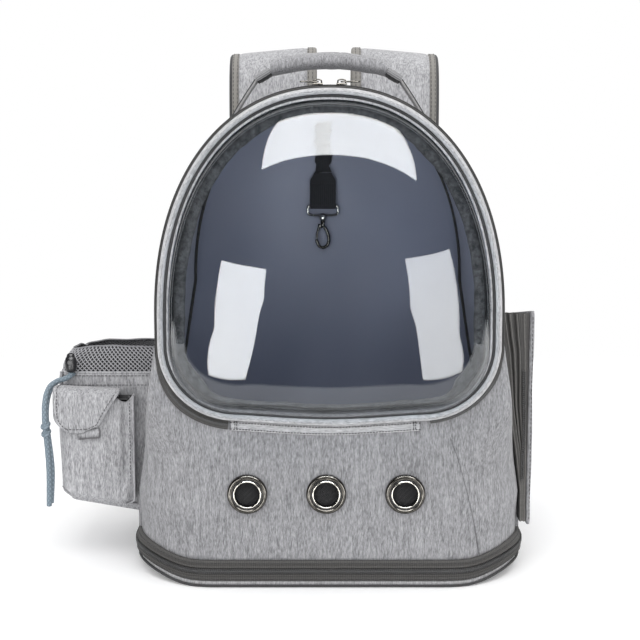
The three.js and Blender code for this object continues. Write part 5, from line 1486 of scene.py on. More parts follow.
@dataclass
class ShoulderStraps:
    """Two padded straps with bound edges, their adjusters, and the webbing down to the sewn anchors."""

    shift: float = 7.0
    offset: float = 64.5
    half: float = 46.0
    thick: float = 12.0
    root: float = 146.3
    stand_off: float = 57.0
    top: float = 470.0
    end: float = 236.0
    tilt: float = 4.0
    foot: float = 390.0
    stations: tuple[Station, ...] = (
        Station(0, 0, 0), Station(0.01, 0.45, 0.4), Station(0.09, 0.8, 0.8), Station(0.26, 0.96, 1),
        Station(0.5, 1, 1), Station(0.74, 0.92, 0.8), Station(0.91, 0.66, 0.5), Station(0.99, 0.3, 0.2),
        Station(1, -0.5, 0), Station(0.99, -1.6, 0),
    )
    edge: Profile = ((0.9, 0), (0.6, 3.6), (-0.8, 5.4), (-4.4, 5.9), (-4.9, 5.2), (-4.9, -5.2), (-4.4, -5.9),
                     (-0.8, -5.4), (0.6, -3.6))
    tape: Profile = ((-3.4, 0.1), (-3.2, 0.7), (0, 0.95), (3.2, 0.7), (3.4, 0.1), (0, -0.8))
    buckle: tuple[float, float] = (209.7, 235.7)
    buckle_y: float = 202.3

    def spine(self) -> list[tuple[float, float, float, float]]:
        """Depth, height, roll and half width all along a strap."""
        rise = self.top - self.foot
        points = [Vector((self.root + s.back * self.stand_off, self.foot + s.rise * rise, s.roll))
                  for s in self.stations]
        points.append(Vector((self.root + self.stand_off - 1, self.end, 0)))
        line = rail(points, 9)
        return [(p.x, p.y, p.z, self.half * (1 - 0.38 * smooth((i / (len(line) - 1) - 0.82) / 0.18)))
                for i, p in enumerate(line)]

    def strap(self, side: str, sign: int) -> None:
        """One strap with its padding, bound edges and stitch rows."""
        x = sign * self.offset + self.shift
        spine = self.spine()
        rings, borders = [], ([], [])
        rows: dict[tuple[int, float], Row] = {(face, u): [] for face in (1, -1) for u in (-0.86, 0.86)}
        for i, (y, z, roll, half) in enumerate(spine):
            a, b = spine[max(i - 1, 0)], spine[min(i + 1, len(spine) - 1)]
            way = Vector((0, b[0] - a[0], b[1] - a[1])).normalized()
            across = Vector((0, way.z, -way.y))
            wide = Vector((1, 0, -sign * self.tilt * roll / half))
            at = Vector((x, y, z))
            swell = 0.4 * ripple(at, 40, sign * 3.0)
            ring = []
            for c, s in circle(36):
                u = squared(c, 0.35)
                channel = 1 - 0.34 * bump(abs(u) - 0.84, 0.05)
                deep = (self.thick / 2 + swell * (abs(u) < 0.8)) * squared(s, 0.7) * channel
                ring.append(at + wide * (half * u) + across * deep)
            rings.append(ring)
            for line, u in zip(borders, (-1.0, 1.0)):
                line.append((at + wide * (half * u * 0.985), wide, across))
            for (face, u), row in rows.items():
                row.append(at + wide * (half * u) + across * ((self.thick / 2 - 0.9) * face))
        padding = Draft().bar(rings).make(
            f"strap_padding_{side}", "heather", PALE_HEATHER, stands_for=f"shoulder_strap_{side}")
        binding, tapes, thread = Draft(), Draft(), Draft()
        for line, u in zip(borders, (-1, 1)):
            binding.bar([[at + wide * (w * u) + across * d for w, d in self.edge]
                         for at, wide, across in line], slot=int(u == -sign))
        for (face, _), line in rows.items():
            run = list(zip(line, tangents(line)))
            tapes.bar([[at + Vector((w, 0, 0)) + Vector((0, way.z, -way.y)) * face * d for w, d in self.tape]
                       for at, way in run])
            for side_step in (-2.2, 2.2):
                Stitching(pitch=4.4, length=3, radius=0.3).sew(
                    thread, [p + Vector((side_step, way.z * face * 0.9, -way.y * face * 0.9))
                             for p, way in run],
                    lambda p, f=face: Vector((0, p.y - 175, max(0.0, p.z - 420))) * f
                    if p.z > 420 else Vector((0, f, 0)))
        binding.make(f"strap_edge_{side}", "binding", DARK_BINDING, BEIGE_BINDING)
        tapes.make(f"strap_tape_{side}", "binding", BEIGE_BINDING)
        thread.make(f"strap_stitching_{side}", "binding", DARK_BINDING)

    def hardware(self, side: str, sign: int) -> None:
        """The moulded adjuster, its webbing and the sewn anchor."""
        x = sign * self.offset + self.shift
        low, high = self.buckle
        ring = [Vector((x + u * 17, self.buckle_y, z)) for u, z in (
            (-1, high - 1.5), (-0.9, high - 0.6), (0, high - 0.6), (0.9, high - 0.6), (1, high - 1.5),
            (1, low + 4), (0.82, low + 1.4), (0, low + 1.4), (-0.82, low + 1.4), (-1, low + 4))]
        loop = [Vector((mix(p.x, x, 0.08), p.y, mix(p.z, 222.7, 0.1))) for p in ring]
        adjuster = Draft().bar(
            [[at + Vector((way.z, 0, -way.x)) * u * 1.5 + Vector((0, v * 2.6, 0)) for u, v in ROUNDED]
             for at, way in zip(loop, tangents(loop, True))], closed=True)
        for z in (219.5, 226.5):
            adjuster.bar([[Vector((x + u * 15.4, self.buckle_y + v * 2.3, z + w * 1.5)) for v, w in ROUNDED]
                          for u in spread(-1, 1, 5)])
        adjuster.make(f"adjuster_{side}", "black_plastic", ACETAL, stands_for=f"strap_adjuster_{side}")
        start, finish = Vector((x, self.buckle_y, 209.3)), Vector((x, 141.6, 62.3))
        line = rail([Vector((x, mix(start.y, finish.y, drop), mix(start.z, finish.z, fall)))
                     for drop, fall in ((0, 0), (0.165, 0.34), (0.5, 0.63), (0.945, 0.865), (1, 1))], 12)
        Draft().bar([[at + Vector((u * 12.5, 0, 0)) + Vector((0, way.z, -way.y)) * v * 1.1 for u, v in FLAT]
                     for at, way in zip(line, tangents(line))]).make(
            f"webbing_{side}", "webbing", BLACK_WEBBING, stands_for=f"strap_webbing_{side}")
        Draft().bar([[Vector((x + u * mix(26, 20, (z - 36) / 25.6), 141.5 + v * 1.15, z)) for u, v in FLAT]
                     for z in spread(36, 61.6, 8)]).make(
            f"anchor_{side}", "binding", DARK_BINDING, stands_for=f"strap_anchor_{side}")

    def build(self) -> None:
        """Build both straps."""
        for side, sign in (("left", -1), ("right", 1)):
            self.strap(side, sign)
            self.hardware(side, sign)


# Left side


@dataclass
class SidePockets:
    """The bottle pocket with its net collar, and the small flap pocket sewn on its front."""

    form: BodyForm = field(default_factory=BodyForm)
    outer: float = -247.0
    front: float = -60.0
    back: float = 40.0
    foot: float = 45.0
    top: float = 173.0
    corner: float = 14.0
    wall: float = 2.4
    collar_front: float = 195.0
    collar_back: float = 187.0
    flap_left: float = -243.0
    flap_right: float = -177.0
    flap_foot: float = 56.0
    flap_top: float = 154.0
    face: float = -81.3
    middle: tuple[float, float] = (-205.0, -10.0)

    def outward(self, at: Vector) -> Vector:
        """Level direction from the pocket's middle to a point."""
        return Vector((at.x - self.middle[0], at.y - self.middle[1], 0))

    def plan(self, z: float, inset: float, bulge: float) -> Row:
        """The pocket's outline at a height: from the body forward, round the outside and back to the body."""
        inner, outer = -(self.form.half(z) + 0.6), self.outer - bulge + inset
        front, back = self.front - bulge + inset, self.back - inset
        r, steps = max(3.0, self.corner - inset), spread(0, 1, 30)
        line = [(mix(inner, outer + r, t), front) for t in steps]
        line += [(outer + r - r * over, front + r * rise) for over, rise in quarter(8)]
        line += [(outer, mix(front + r, back - r, t)) for t in steps[1:]]
        line += [(outer + r * rise, back - r + r * over) for over, rise in quarter(8)]
        line += [(mix(outer + r, inner, t), back) for t in steps[1:]]
        return [Vector((x, y, z)) for x, y in line]

    def lift(self, x: float, share: float) -> Vector:
        """How far the pocket's base is drawn up, most at its outer side and least at the body."""
        return Vector((0, 0, mix(-4.0, 8.0, clamp((-176.0 - x) / 70.0)) * (1 - smooth(share / 0.4))))

    def swell(self, share: float) -> tuple[float, float]:
        """Inset and bulge of the pocket's wall at a share of its height."""
        inset = 6 * (1 - smooth(share / 0.07)) + 0.4 * bump(share - 0.915, 0.012)
        bulge = along(((0.0, 0.0), (0.05, 0.0), (0.26, 2.0), (0.55, 2.8), (0.9, 0.8), (1.0, 0.0)), share)
        return inset, bulge

    def bottle(self) -> None:
        """The canvas pocket with its hemmed mouth, corner seam and base seam."""
        rows, height = [], self.top - self.foot
        for share in spread(0, 1, 52):
            row = []
            for p in self.plan(self.foot + share * height, *self.swell(share)):
                sag = 0.8 * ripple(p, 46, 2.0) + 0.35 * ripple(p, 18, 6.0)
                sag = sag * smooth(share * 6) * smooth((1 - share) * 9)
                dip = 1.6 * smooth((p.x + 170) / 12) * smooth(share * 5) if p.y < self.front + 4 else 0.0
                swollen = p + self.outward(p).normalized() * sag
                row.append(swollen + Vector((0, dip, 0)) + self.lift(p.x, share))
            rows.append(row)
        inner = [[p - self.outward(p).normalized() * self.wall for p in row] for row in rows[::-1]]
        Draft().grid(rows + inner[:34]).cap(rows[0]).make(
            "bottle_pocket_canvas", "heather", PALE_HEATHER, stands_for="bottle_pocket")
        thread, sew = Draft(), Stitching(pitch=3.4, length=2.3, radius=0.32)
        for z in (self.top - 3.0, self.top - 11.5):
            inset, bulge = self.swell((z - self.foot) / height)
            sew.sew(thread, self.plan(z, inset - 0.3, bulge), self.outward)
        for x in (-162.8, -166.6):
            line = []
            for share in spread(0.06, 0.98, 40):
                inset, bulge = self.swell(share)
                z = self.foot + share * height
                slope = self.form.half(z) - self.form.half(self.top)
                line.append(Vector((x - slope * 0.75, self.front - bulge + inset + 1.0, z)))
            sew.sew(thread, line, FRONT_OUT)
        thread.make("bottle_pocket_stitching", "binding", THREAD)
        inset, bulge = self.swell(0.07)
        seam = [p + self.lift(p.x, 0.06) for p in self.plan(self.foot + 7.5, inset - 0.4, bulge)]
        corner = []
        for share in spread(0.68, 1.0, 16):
            inset, bulge = self.swell(share)
            corner.append(Vector((self.outer - bulge + inset + 1.0, self.front - bulge + 5.0,
                                  self.foot + share * height)))
        hem = [p + Vector((0, 0, -0.4)) for p in self.plan(self.top, 0.9, 0)]
        trim = Draft().tube(seam, 1.0, sides=8).tube(corner, 1.5, sides=8).tube(hem, 1.3, sides=8)
        trim.make("bottle_pocket_edges", "heather", PALE_HEATHER, DARK_BINDING)

    def collar_point(self, u: float, v: float, line_low: Row, out: float = 0.0) -> Vector:
        """A point of the net collar: u along the mouth, v from its foot to its drawn-in top edge."""
        place = u * (len(line_low) - 1)
        i = min(len(line_low) - 2, int(place))
        low = line_low[i].lerp(line_low[i + 1], place - i)
        front = smooth((self.back - 12 - low.y) / 60)
        rise = mix(self.collar_back, self.collar_front, front) - self.top
        belly = math.sin(v * math.pi * 0.62)
        inward = Vector((-196 - low.x, -8 - low.y, 0)).normalized()
        draw = mix(8.5, 13.0, smooth((low.x + 165) / -70)) * v ** 1.7 - 1.6 * belly
        droop = 3.0 * smooth((-220 - low.x) / 26) * v
        wave = 0.9 * ripple(Vector((low.x, low.y, 0)), 22, 1.5) * v
        return low + inward * (draw - out) + Vector((0, 0, rise * v - droop + wave))

    def collar(self) -> None:
        """The net collar: real strands that cross over a dark inner cloth, and a corded edge."""
        low = [p + Vector((0, 0, 0.4)) for p in self.plan(self.top, 1.8, 0)]
        around = sum((b - a).length for a, b in zip(low, low[1:]))
        Draft().grid([[self.collar_point(u, v, low, mix(-1.0, 2.4, smooth((u - 0.42) / 0.14)))
                       for u in spread(0, 1, 110)] for v in spread(0, 0.99, 14)]).make(
            "pocket_collar_cloth", "webbing", NET, lift=0.6)
        net, cell = Draft(), 3.9 / around
        lean = (self.collar_front - self.top) / around
        for way in (1, -1):
            for i in range(-int(lean / cell) - 1, int((1 + lean) / cell) + 1):
                line = []
                for v in spread(0, 1, 15):
                    u = i * cell + way * v * lean if way > 0 else i * cell + lean - v * lean
                    if 0 <= u <= 1:
                        line.append(self.collar_point(u, v, low, 0.35 + 0.12 * way))
                if len(line) > 2:
                    net.tube(line, 0.56, sides=4)
        net.make("pocket_net", "webbing", LIGHT_NET, stands_for="pocket_mesh")
        edge = Draft().tube([self.collar_point(u, 1.0, low, 0.1) for u in spread(0, 1, 120)], 1.1, sides=8)
        for u in (0.004, 0.996):
            edge.tube([self.collar_point(u, v, low, 0.5) for v in spread(0, 1, 8)], 1.7, sides=8)
        edge.make("pocket_collar_edge", "binding", NET_EDGE)

    def small_pocket(self) -> None:
        """The flap pocket: a boxed front panel that leans in at its right, with corded edges."""
        x0, x1 = self.flap_left, self.flap_right
        mouth, base = self.flap_top, self.flap_foot
        back, middle, rows = -63.4, (self.flap_left + self.flap_right) / 2, []
        for t in spread(0, 1, 44):
            z = mix(base, mouth, t)
            foot = smooth(t / 0.09)
            narrow = 4.5 * (1 - foot)
            low = 1 - smooth(t / 0.05)
            row = []
            for s in spread(0, 1, 60):
                around = s * 3
                if around < 0.5:
                    share = around / 0.5
                    x, y = x0 + narrow, mix(back, self.face + 4.5, share)
                elif around < 2.5:
                    share = (around - 0.5) / 2.0
                    x = mix(x0 + narrow, x1 - narrow - 1.0, share)
                    edge = min(share, 1 - share)
                    y = self.face + 4.5 * (1 - smooth(edge / 0.1)) ** 1.5
                    y += 5.6 * bump(share - 0.9, 0.055) * smooth((t - 0.12) / 0.2)
                    y += 2.4 * bump(share - 0.74, 0.07) * smooth((t - 0.3) / 0.3)
                    y += ripple(Vector((x, 0, z)), 30, 3.0) + 0.4 * ripple(Vector((x, 0, z * 0.5)), 12, 7.0)
                    y += 0.9 * (1 - math.sin(share * math.pi)) * (1 - t)
                else:
                    share = (around - 2.5) / 0.5
                    x, y = x1 - narrow, mix(self.face + 4.5, back, share)
                y = min(y + 3.0 * low, back) if y < back else back
                dip = 5.0 * math.sin(math.pi * clamp((x + 191) / 14)) * smooth((t - 0.8) / 0.2)
                row.append(Vector((x, y, z - dip)) + self.lift(x, t * 1.2))
            rows.append(row)
        wall = [[Vector((mix(p.x, middle, 0.055), min(p.y + 2.0, back), p.z)) for p in row]
                for row in rows[::-1]]
        floor = [[Vector((p.x, mix(p.y, back, t), p.z)) for p in rows[0]] for t in (0, 0.5, 1)]
        Draft().grid(rows + wall[:24]).grid(floor).make(
            "flap_pocket_canvas", "heather", PALE_HEATHER, stands_for="flap_pocket")
        right = [Vector((x1 - 0.3, self.face + 5.2, z)) for z in spread(base + 7, mouth, 20)]
        turn = [Vector((x1 - 1.5, self.face + 5.6, base + 4)), Vector((x1 - 5, self.face + 5.4, base + 1.6))]
        low = [Vector((x, self.face + 4.2, base + 0.9 + 0.5 * math.sin(x * 0.11)))
               for x in spread(x1 - 8, x0 + 8, 24)]
        left = [Vector((x0 + 3, self.face + 5.2, base + 3.4)), Vector((x0 + 0.4, self.face + 5.4, base + 9))]
        around = [p + self.lift(p.x, (p.z - base) / (mouth - base) * 1.2)
                  for p in (*reversed(right), *turn, *low, *left)]
        Draft().tube(rail(around, 2), 0.95, sides=8).make("flap_pocket_cord", "heather", PALE_HEATHER)
        seam = [p + Vector((-3.2, -0.9, 0)) for p in reversed(right)]
        seam += [p + Vector((0, -0.9, 3.0)) for p in around[len(right) + 2:-2]]
        Stitching(pitch=3.2, length=2.2, radius=0.3).sew(Draft(), seam, FRONT_OUT).make(
            "flap_pocket_stitching", "binding", THREAD)
        # Two dark sheets of painted shade: one in the pocket's opening and one across its inside below the
        # mouth.
        opening_shade = [[Vector((x, self.face + 9.0, z)) for x in spread(-191, -179, 12)]
                for z in (mouth - 8, mouth + 1)]
        inside_shade = [[Vector((x, y, mouth - 2.5)) for x in spread(x0 + 7, x1 - 5, 12)]
                for y in (self.face + 4.2, back - 1.0)]
        Draft().grid(opening_shade).grid(inside_shade).make("flap_pocket_painted_shade", "binding", DARK_BINDING)

    def flap(self) -> None:
        """The flap: a D-shaped cloth that hangs over the pocket's mouth, with a stitched border."""
        profile = ((-63.5, 157.5), (-64.6, 160.8), (-68.5, 163.4), (-76.5, 163.7), (-82.4, 161.2),
                   (-84.2, 155.5), (-84.6, 146), (-84.6, 134), (-84.1, 122.6))
        line = rail([Vector((0, y, z)) for y, z in profile], 7)
        run = [0.0]
        for a, b in zip(line, line[1:]):
            run.append(run[-1] + (b - a).length)
        rows = []
        for p, t in zip(line, (r / run[-1] for r in run)):
            down, fold = clamp((t - 0.36) / 0.64), smooth(t / 0.3)
            left = -243.3 - 5.0 * fold + 13.0 * max(0.0, (down - 0.55) / 0.45) ** 2.4
            right = -192.6 + 4.0 * fold - 21.0 * down - 11.0 * smooth((down - 0.8) / 0.2)
            row = []
            for s in spread(0, 1, 36):
                at = Vector((mix(left, right, s), p.y, p.z))
                belly = math.sin(s * math.pi)
                lift = 0.35 * ripple(at, 26, 2.0) * smooth(down * 4) - 0.44 * belly * smooth(down * 3)
                sag = 2.9 * s * (1 - smooth(down * 1.6)) + 0.66 * belly * down ** 3
                row.append(Vector((at.x, min(at.y + lift, -63.4), at.z - sag)))
            rows.append(row)
        under = [[p + Vector((0, 1.6 if q > 12 else 0.5, -1.3 if q < 26 else -0.1)) for p in row]
                 for q, row in reversed(list(enumerate(rows)))]
        draft = Draft().grid(rows + under, loop_rows=True)
        for side in (0, -1):
            draft.cap([row[side] for row in rows + under])
        cloth = draft.make("pocket_flap_cloth", "heather", PALE_HEATHER, stands_for="pocket_flap", weld=0.05)
        loop = [row[0].lerp(row[-1], 3.6 / (row[-1] - row[0]).length) for row in rows[2:-2]]
        loop += [p + Vector((0, 0, 1.2)) for p in rows[-3][5:-5]]
        loop += [row[-1].lerp(row[0], 3.6 / (row[-1] - row[0]).length) for row in reversed(rows[2:-2])]
        top = self.flap_top + 8
        loop = [p + Vector((0, -0.25 if p.z < top else 0.0, 0.25 if p.z > top - 1 else 0.0)) for p in loop]
        Stitching(pitch=3.2, length=2.2, radius=0.36).sew(
            Draft(), loop, lambda p: FRONT_OUT if p.z < top else Vector((0, -0.4, 1))).make(
            "pocket_flap_stitching", "binding", THREAD)
        tab_left, tab_right, slope = -226, -207, 0.08
        Draft().grid([[Vector((x, y, z + slope * (x - tab_left))) for x in spread(tab_left, tab_right, 16)]
                      for y, z in ((-82.4, 124.5), (-82.9, 120.2), (-82.6, 116.2))]).make(
            "pocket_flap_tape", "heather", PALE_HEATHER, lift=0.8)
        low = [Vector((x, -83.1, 116.4 + slope * (x - tab_left))) for x in spread(tab_left, tab_right, 12)]
        end = [Vector((tab_right, -83.1, z)) for z in spread(117.8, 125, 6)]
        Draft().tube(low, 0.6, sides=6).tube(end, 0.5, sides=6).make(
            "pocket_flap_tape_edge", "binding", THREAD)

    def build(self) -> None:
        """Build both pockets."""
        self.bottle()
        self.collar()
        self.small_pocket()
        self.flap()


@dataclass
class Drawcord:
    """The doubled drawcord that hangs from its lock down the pocket's side, knotted below the bend."""

    route: tuple[tuple[float, float, float], ...] = (
        (-235, -64.5, 174), (-235.6, -64.8, 171.2), (-240.5, -66, 168.4), (-247, -68.2, 166.8),
        (-253, -72, 162.6), (-255.6, -76.5, 156), (-256.4, -80.5, 148), (-256.2, -83.5, 139),
        (-255.6, -85, 130), (-254.8, -85.6, 121), (-254, -86, 112), (-253.4, -86, 103), (-253, -86, 94),
        (-252.8, -86, 85), (-252.9, -86, 76), (-253.1, -86, 67), (-253.3, -86, 59), (-253.4, -86, 55),
    )
    radius: float = 2.4
    lock: tuple[float, float, float] = (-235, -64.5, 174.8)
    barrel: Profile = ((0.01, 0.0), (3.6, 0.0), (4.6, 1.2), (5.2, 3.6), (5.3, 6.5), (5.2, 9.8), (4.6, 12.4),
                       (3.9, 13.3), (3.6, 13.5), (3.6, 14.4), (3.3, 15.8), (2.2, 16.7), (0.01, 17.0))

    def build(self) -> None:
        """The cord, its second strand, its two knots and the spring lock."""
        line = rail([Vector(p) for p in self.route], 6)

        def worn(share: float) -> float:
            """A slightly uneven cord with a melted tip."""
            return (1 - 0.35 * smooth((share - 0.985) / 0.015)) * (1 + 0.02 * math.sin(share * 90))

        made = Draft().tube(line, self.radius, sides=16, taper=worn).make(
            "drawcord_braid", "cord", CORD, stands_for="drawcord")
        partner = [p + Vector((1.9 + 0.6 * math.sin(i * 0.11), 3.4, 1.0 if i < 12 else 0.0))
                   for i, p in enumerate(line[4:-4])]
        partner_made = Draft().tube(partner, 2.0, sides=12).make("drawcord_second", "cord", CORD)
        knots = Draft()
        for z, x in ((129.5, -256.2), (122.6, -255.8)):
            ring = [Vector((x + 1.0 + 2.6 * math.cos(a), -84.4 + 3.4 * math.sin(a),
                            z + 1.5 * math.sin(a + 0.7))) for a in (2 * math.pi * k / 14 for k in range(14))]
            knots.tube(ring, 2.0, sides=10, closed=True)
        knot_made = knots.make("drawcord_knots", "cord", CORD)
        at = Vector(self.lock)
        Draft().lathe(self.barrel, at, UP, 28).tube([at + UP * 9.2 - Vector((0, dy, 0)) for dy in (5.6, 4.4)],
                                                    2.0, sides=14).make(
            "drawcord_lock", "black_plastic", ACETAL, stands_for="cord_lock")


# Right side


@dataclass
class SideExpansion:
    """The folded side wing: dark pleats that ripple, a zip coil and a canvas edge panel."""

    form: BodyForm = field(default_factory=BodyForm)
    reach: float = 182.5
    plate: float = 4.6
    front: float = -92.0
    back: float = 108.0
    foot: float = 42.0
    top: float = 233.0
    drop: float = 34.0
    folds: Profile = (
        (0, 3), (0.06, 0.7), (0.12, 0.0), (0.22, 0.1), (0.3, 0.6), (0.35, 2.6), (0.38, 3.6), (0.41, 2.4),
        (0.46, 0.8), (0.52, 0.9), (0.56, 2.8), (0.58, 3.6), (0.61, 2.4), (0.66, 0.8), (0.74, 0.1),
        (0.88, 0.2), (1, 0.3),
    )

    def sloped(self, z: float, y: float) -> float:
        """The height of a point of the wing, whose top slopes down to its back."""
        share = smooth((z - self.top + 60) / 60)
        return z - self.drop * clamp((y - self.front) / (self.back - self.front)) * share

    def inner(self, z: float) -> float:
        """Where the wing meets the body at a height."""
        return self.form.half(z) + 0.8

    def swing(self, z: float, share: float) -> float:
        """How far sideways the crushed pleats wander at a height."""
        wave = 0.9 * math.sin(z * 0.075) + 0.5 * ripple(Vector((0, 0, z)), 16, 2.0)
        return wave * math.sin(share * math.pi) * 0.8

    def pleats(self) -> None:
        """The pleats, rippled where they were crushed, sunk a little at head and foot."""
        outer, rows, ridges = self.reach - self.plate - 0.5, [], Draft()
        for z in spread(self.foot, self.top, 64):
            row = []
            for share, back in self.folds:
                deep = 0.45 * ripple(Vector((share * 60, 0, z)), 13, 5.0) * (1 - abs(share - 0.5))
                row.append(Vector((mix(self.inner(z), outer, share) + self.swing(z, share),
                                   self.front + back + deep + 0.3, z)))
            end = self.sloped(z, self.back)
            rows.append([*row, Vector((outer, self.back, end)), Vector((self.inner(end), self.back, end))])
        for i, sink in ((0, 1), (1, 0.45), (2, 0.12), (-1, 1), (-2, 0.45), (-3, 0.12)):
            for p in rows[i]:
                p.y += 1.4 * sink if p.y < 0 else 0
        Draft().bar(rows).make("side_pleats", "binding", ZIP_TAPE, stands_for="side_folds")
        # Tubes of painted highlight along the pleats' fold crests.
        for share, radius in ((0.12, 0.9), (0.3, 0.8), (0.46, 0.8), (0.66, 0.8), (0.86, 1.0)):
            line = [Vector((mix(self.inner(z), outer, share) + self.swing(z, share), self.front + 0.9, z))
                    for z in spread(self.foot + 1, self.top - 1, 60)]
            ridges.tube(line, radius, sides=6)
        ridges.make("side_pleat_crest_highlights", "binding", CREST_HIGHLIGHT)

    def panel(self) -> None:
        """The canvas edge that closes the wing, with piping at its front."""
        rows = []
        for z in spread(self.foot - 2, self.top + 2, 60):
            end = min(z - self.foot + 2, self.top + 2 - z)
            trim = 1.2 * (1 - smooth(end / 5))
            wave = 0.5 * math.sin(z * 0.06 + 1) + 0.4 * ripple(Vector((5, 0, z)), 22, 1.0)
            x0, x1 = self.reach - self.plate + 0.1 + trim * 0.5, self.reach - 0.6 - trim * 0.5 + wave
            rows.append([Vector((x, y, z)) for x, y in (
                (x0, self.front - 0.6 + trim), (mix(x0, x1, 0.4), self.front - 1.0 + trim),
                (mix(x0, x1, 0.8), self.front - 0.6 + trim), (x1, self.front + 1.4),
                (x1 + 0.2, self.front + 20), (x1 + 0.2, self.back - 6), (x1 - 0.8, self.back),
                (x0, self.back))])
            for p in rows[-1]:
                p.z = self.sloped(z, p.y)
        Draft().bar(rows).make("side_panel_canvas", "heather", HEATHER, stands_for="side_panel")
        line = [Vector((self.reach - 2.0, self.front - 0.9, z))
                for z in spread(self.foot + 4, self.top - 4, 30)]
        Stitching(pitch=3.8, length=2.6, radius=0.28).sew(Draft(), line, FRONT_OUT).make(
            "side_panel_stitching", "binding", DARK_BINDING)

    def coil(self) -> None:
        """The zip's teeth where the pleats part, in two rows."""
        parting, sway = 174.0, 0.5
        line = [Vector((parting + sway * math.sin(z * 0.06), self.front - 0.9, z))
                for z in spread(82, 181, 50)]
        ZipCoil(1.9, (0.55, 0.6, 0.8), 0.8).lay(line, [FRONT_OUT] * len(line)).make(
            "side_zip_coil", "binding", COIL, stands_for="side_chain", soft=False)

    def build(self) -> None:
        """Build the wing."""
        self.pleats()
        self.panel()
        self.coil()


# Inside


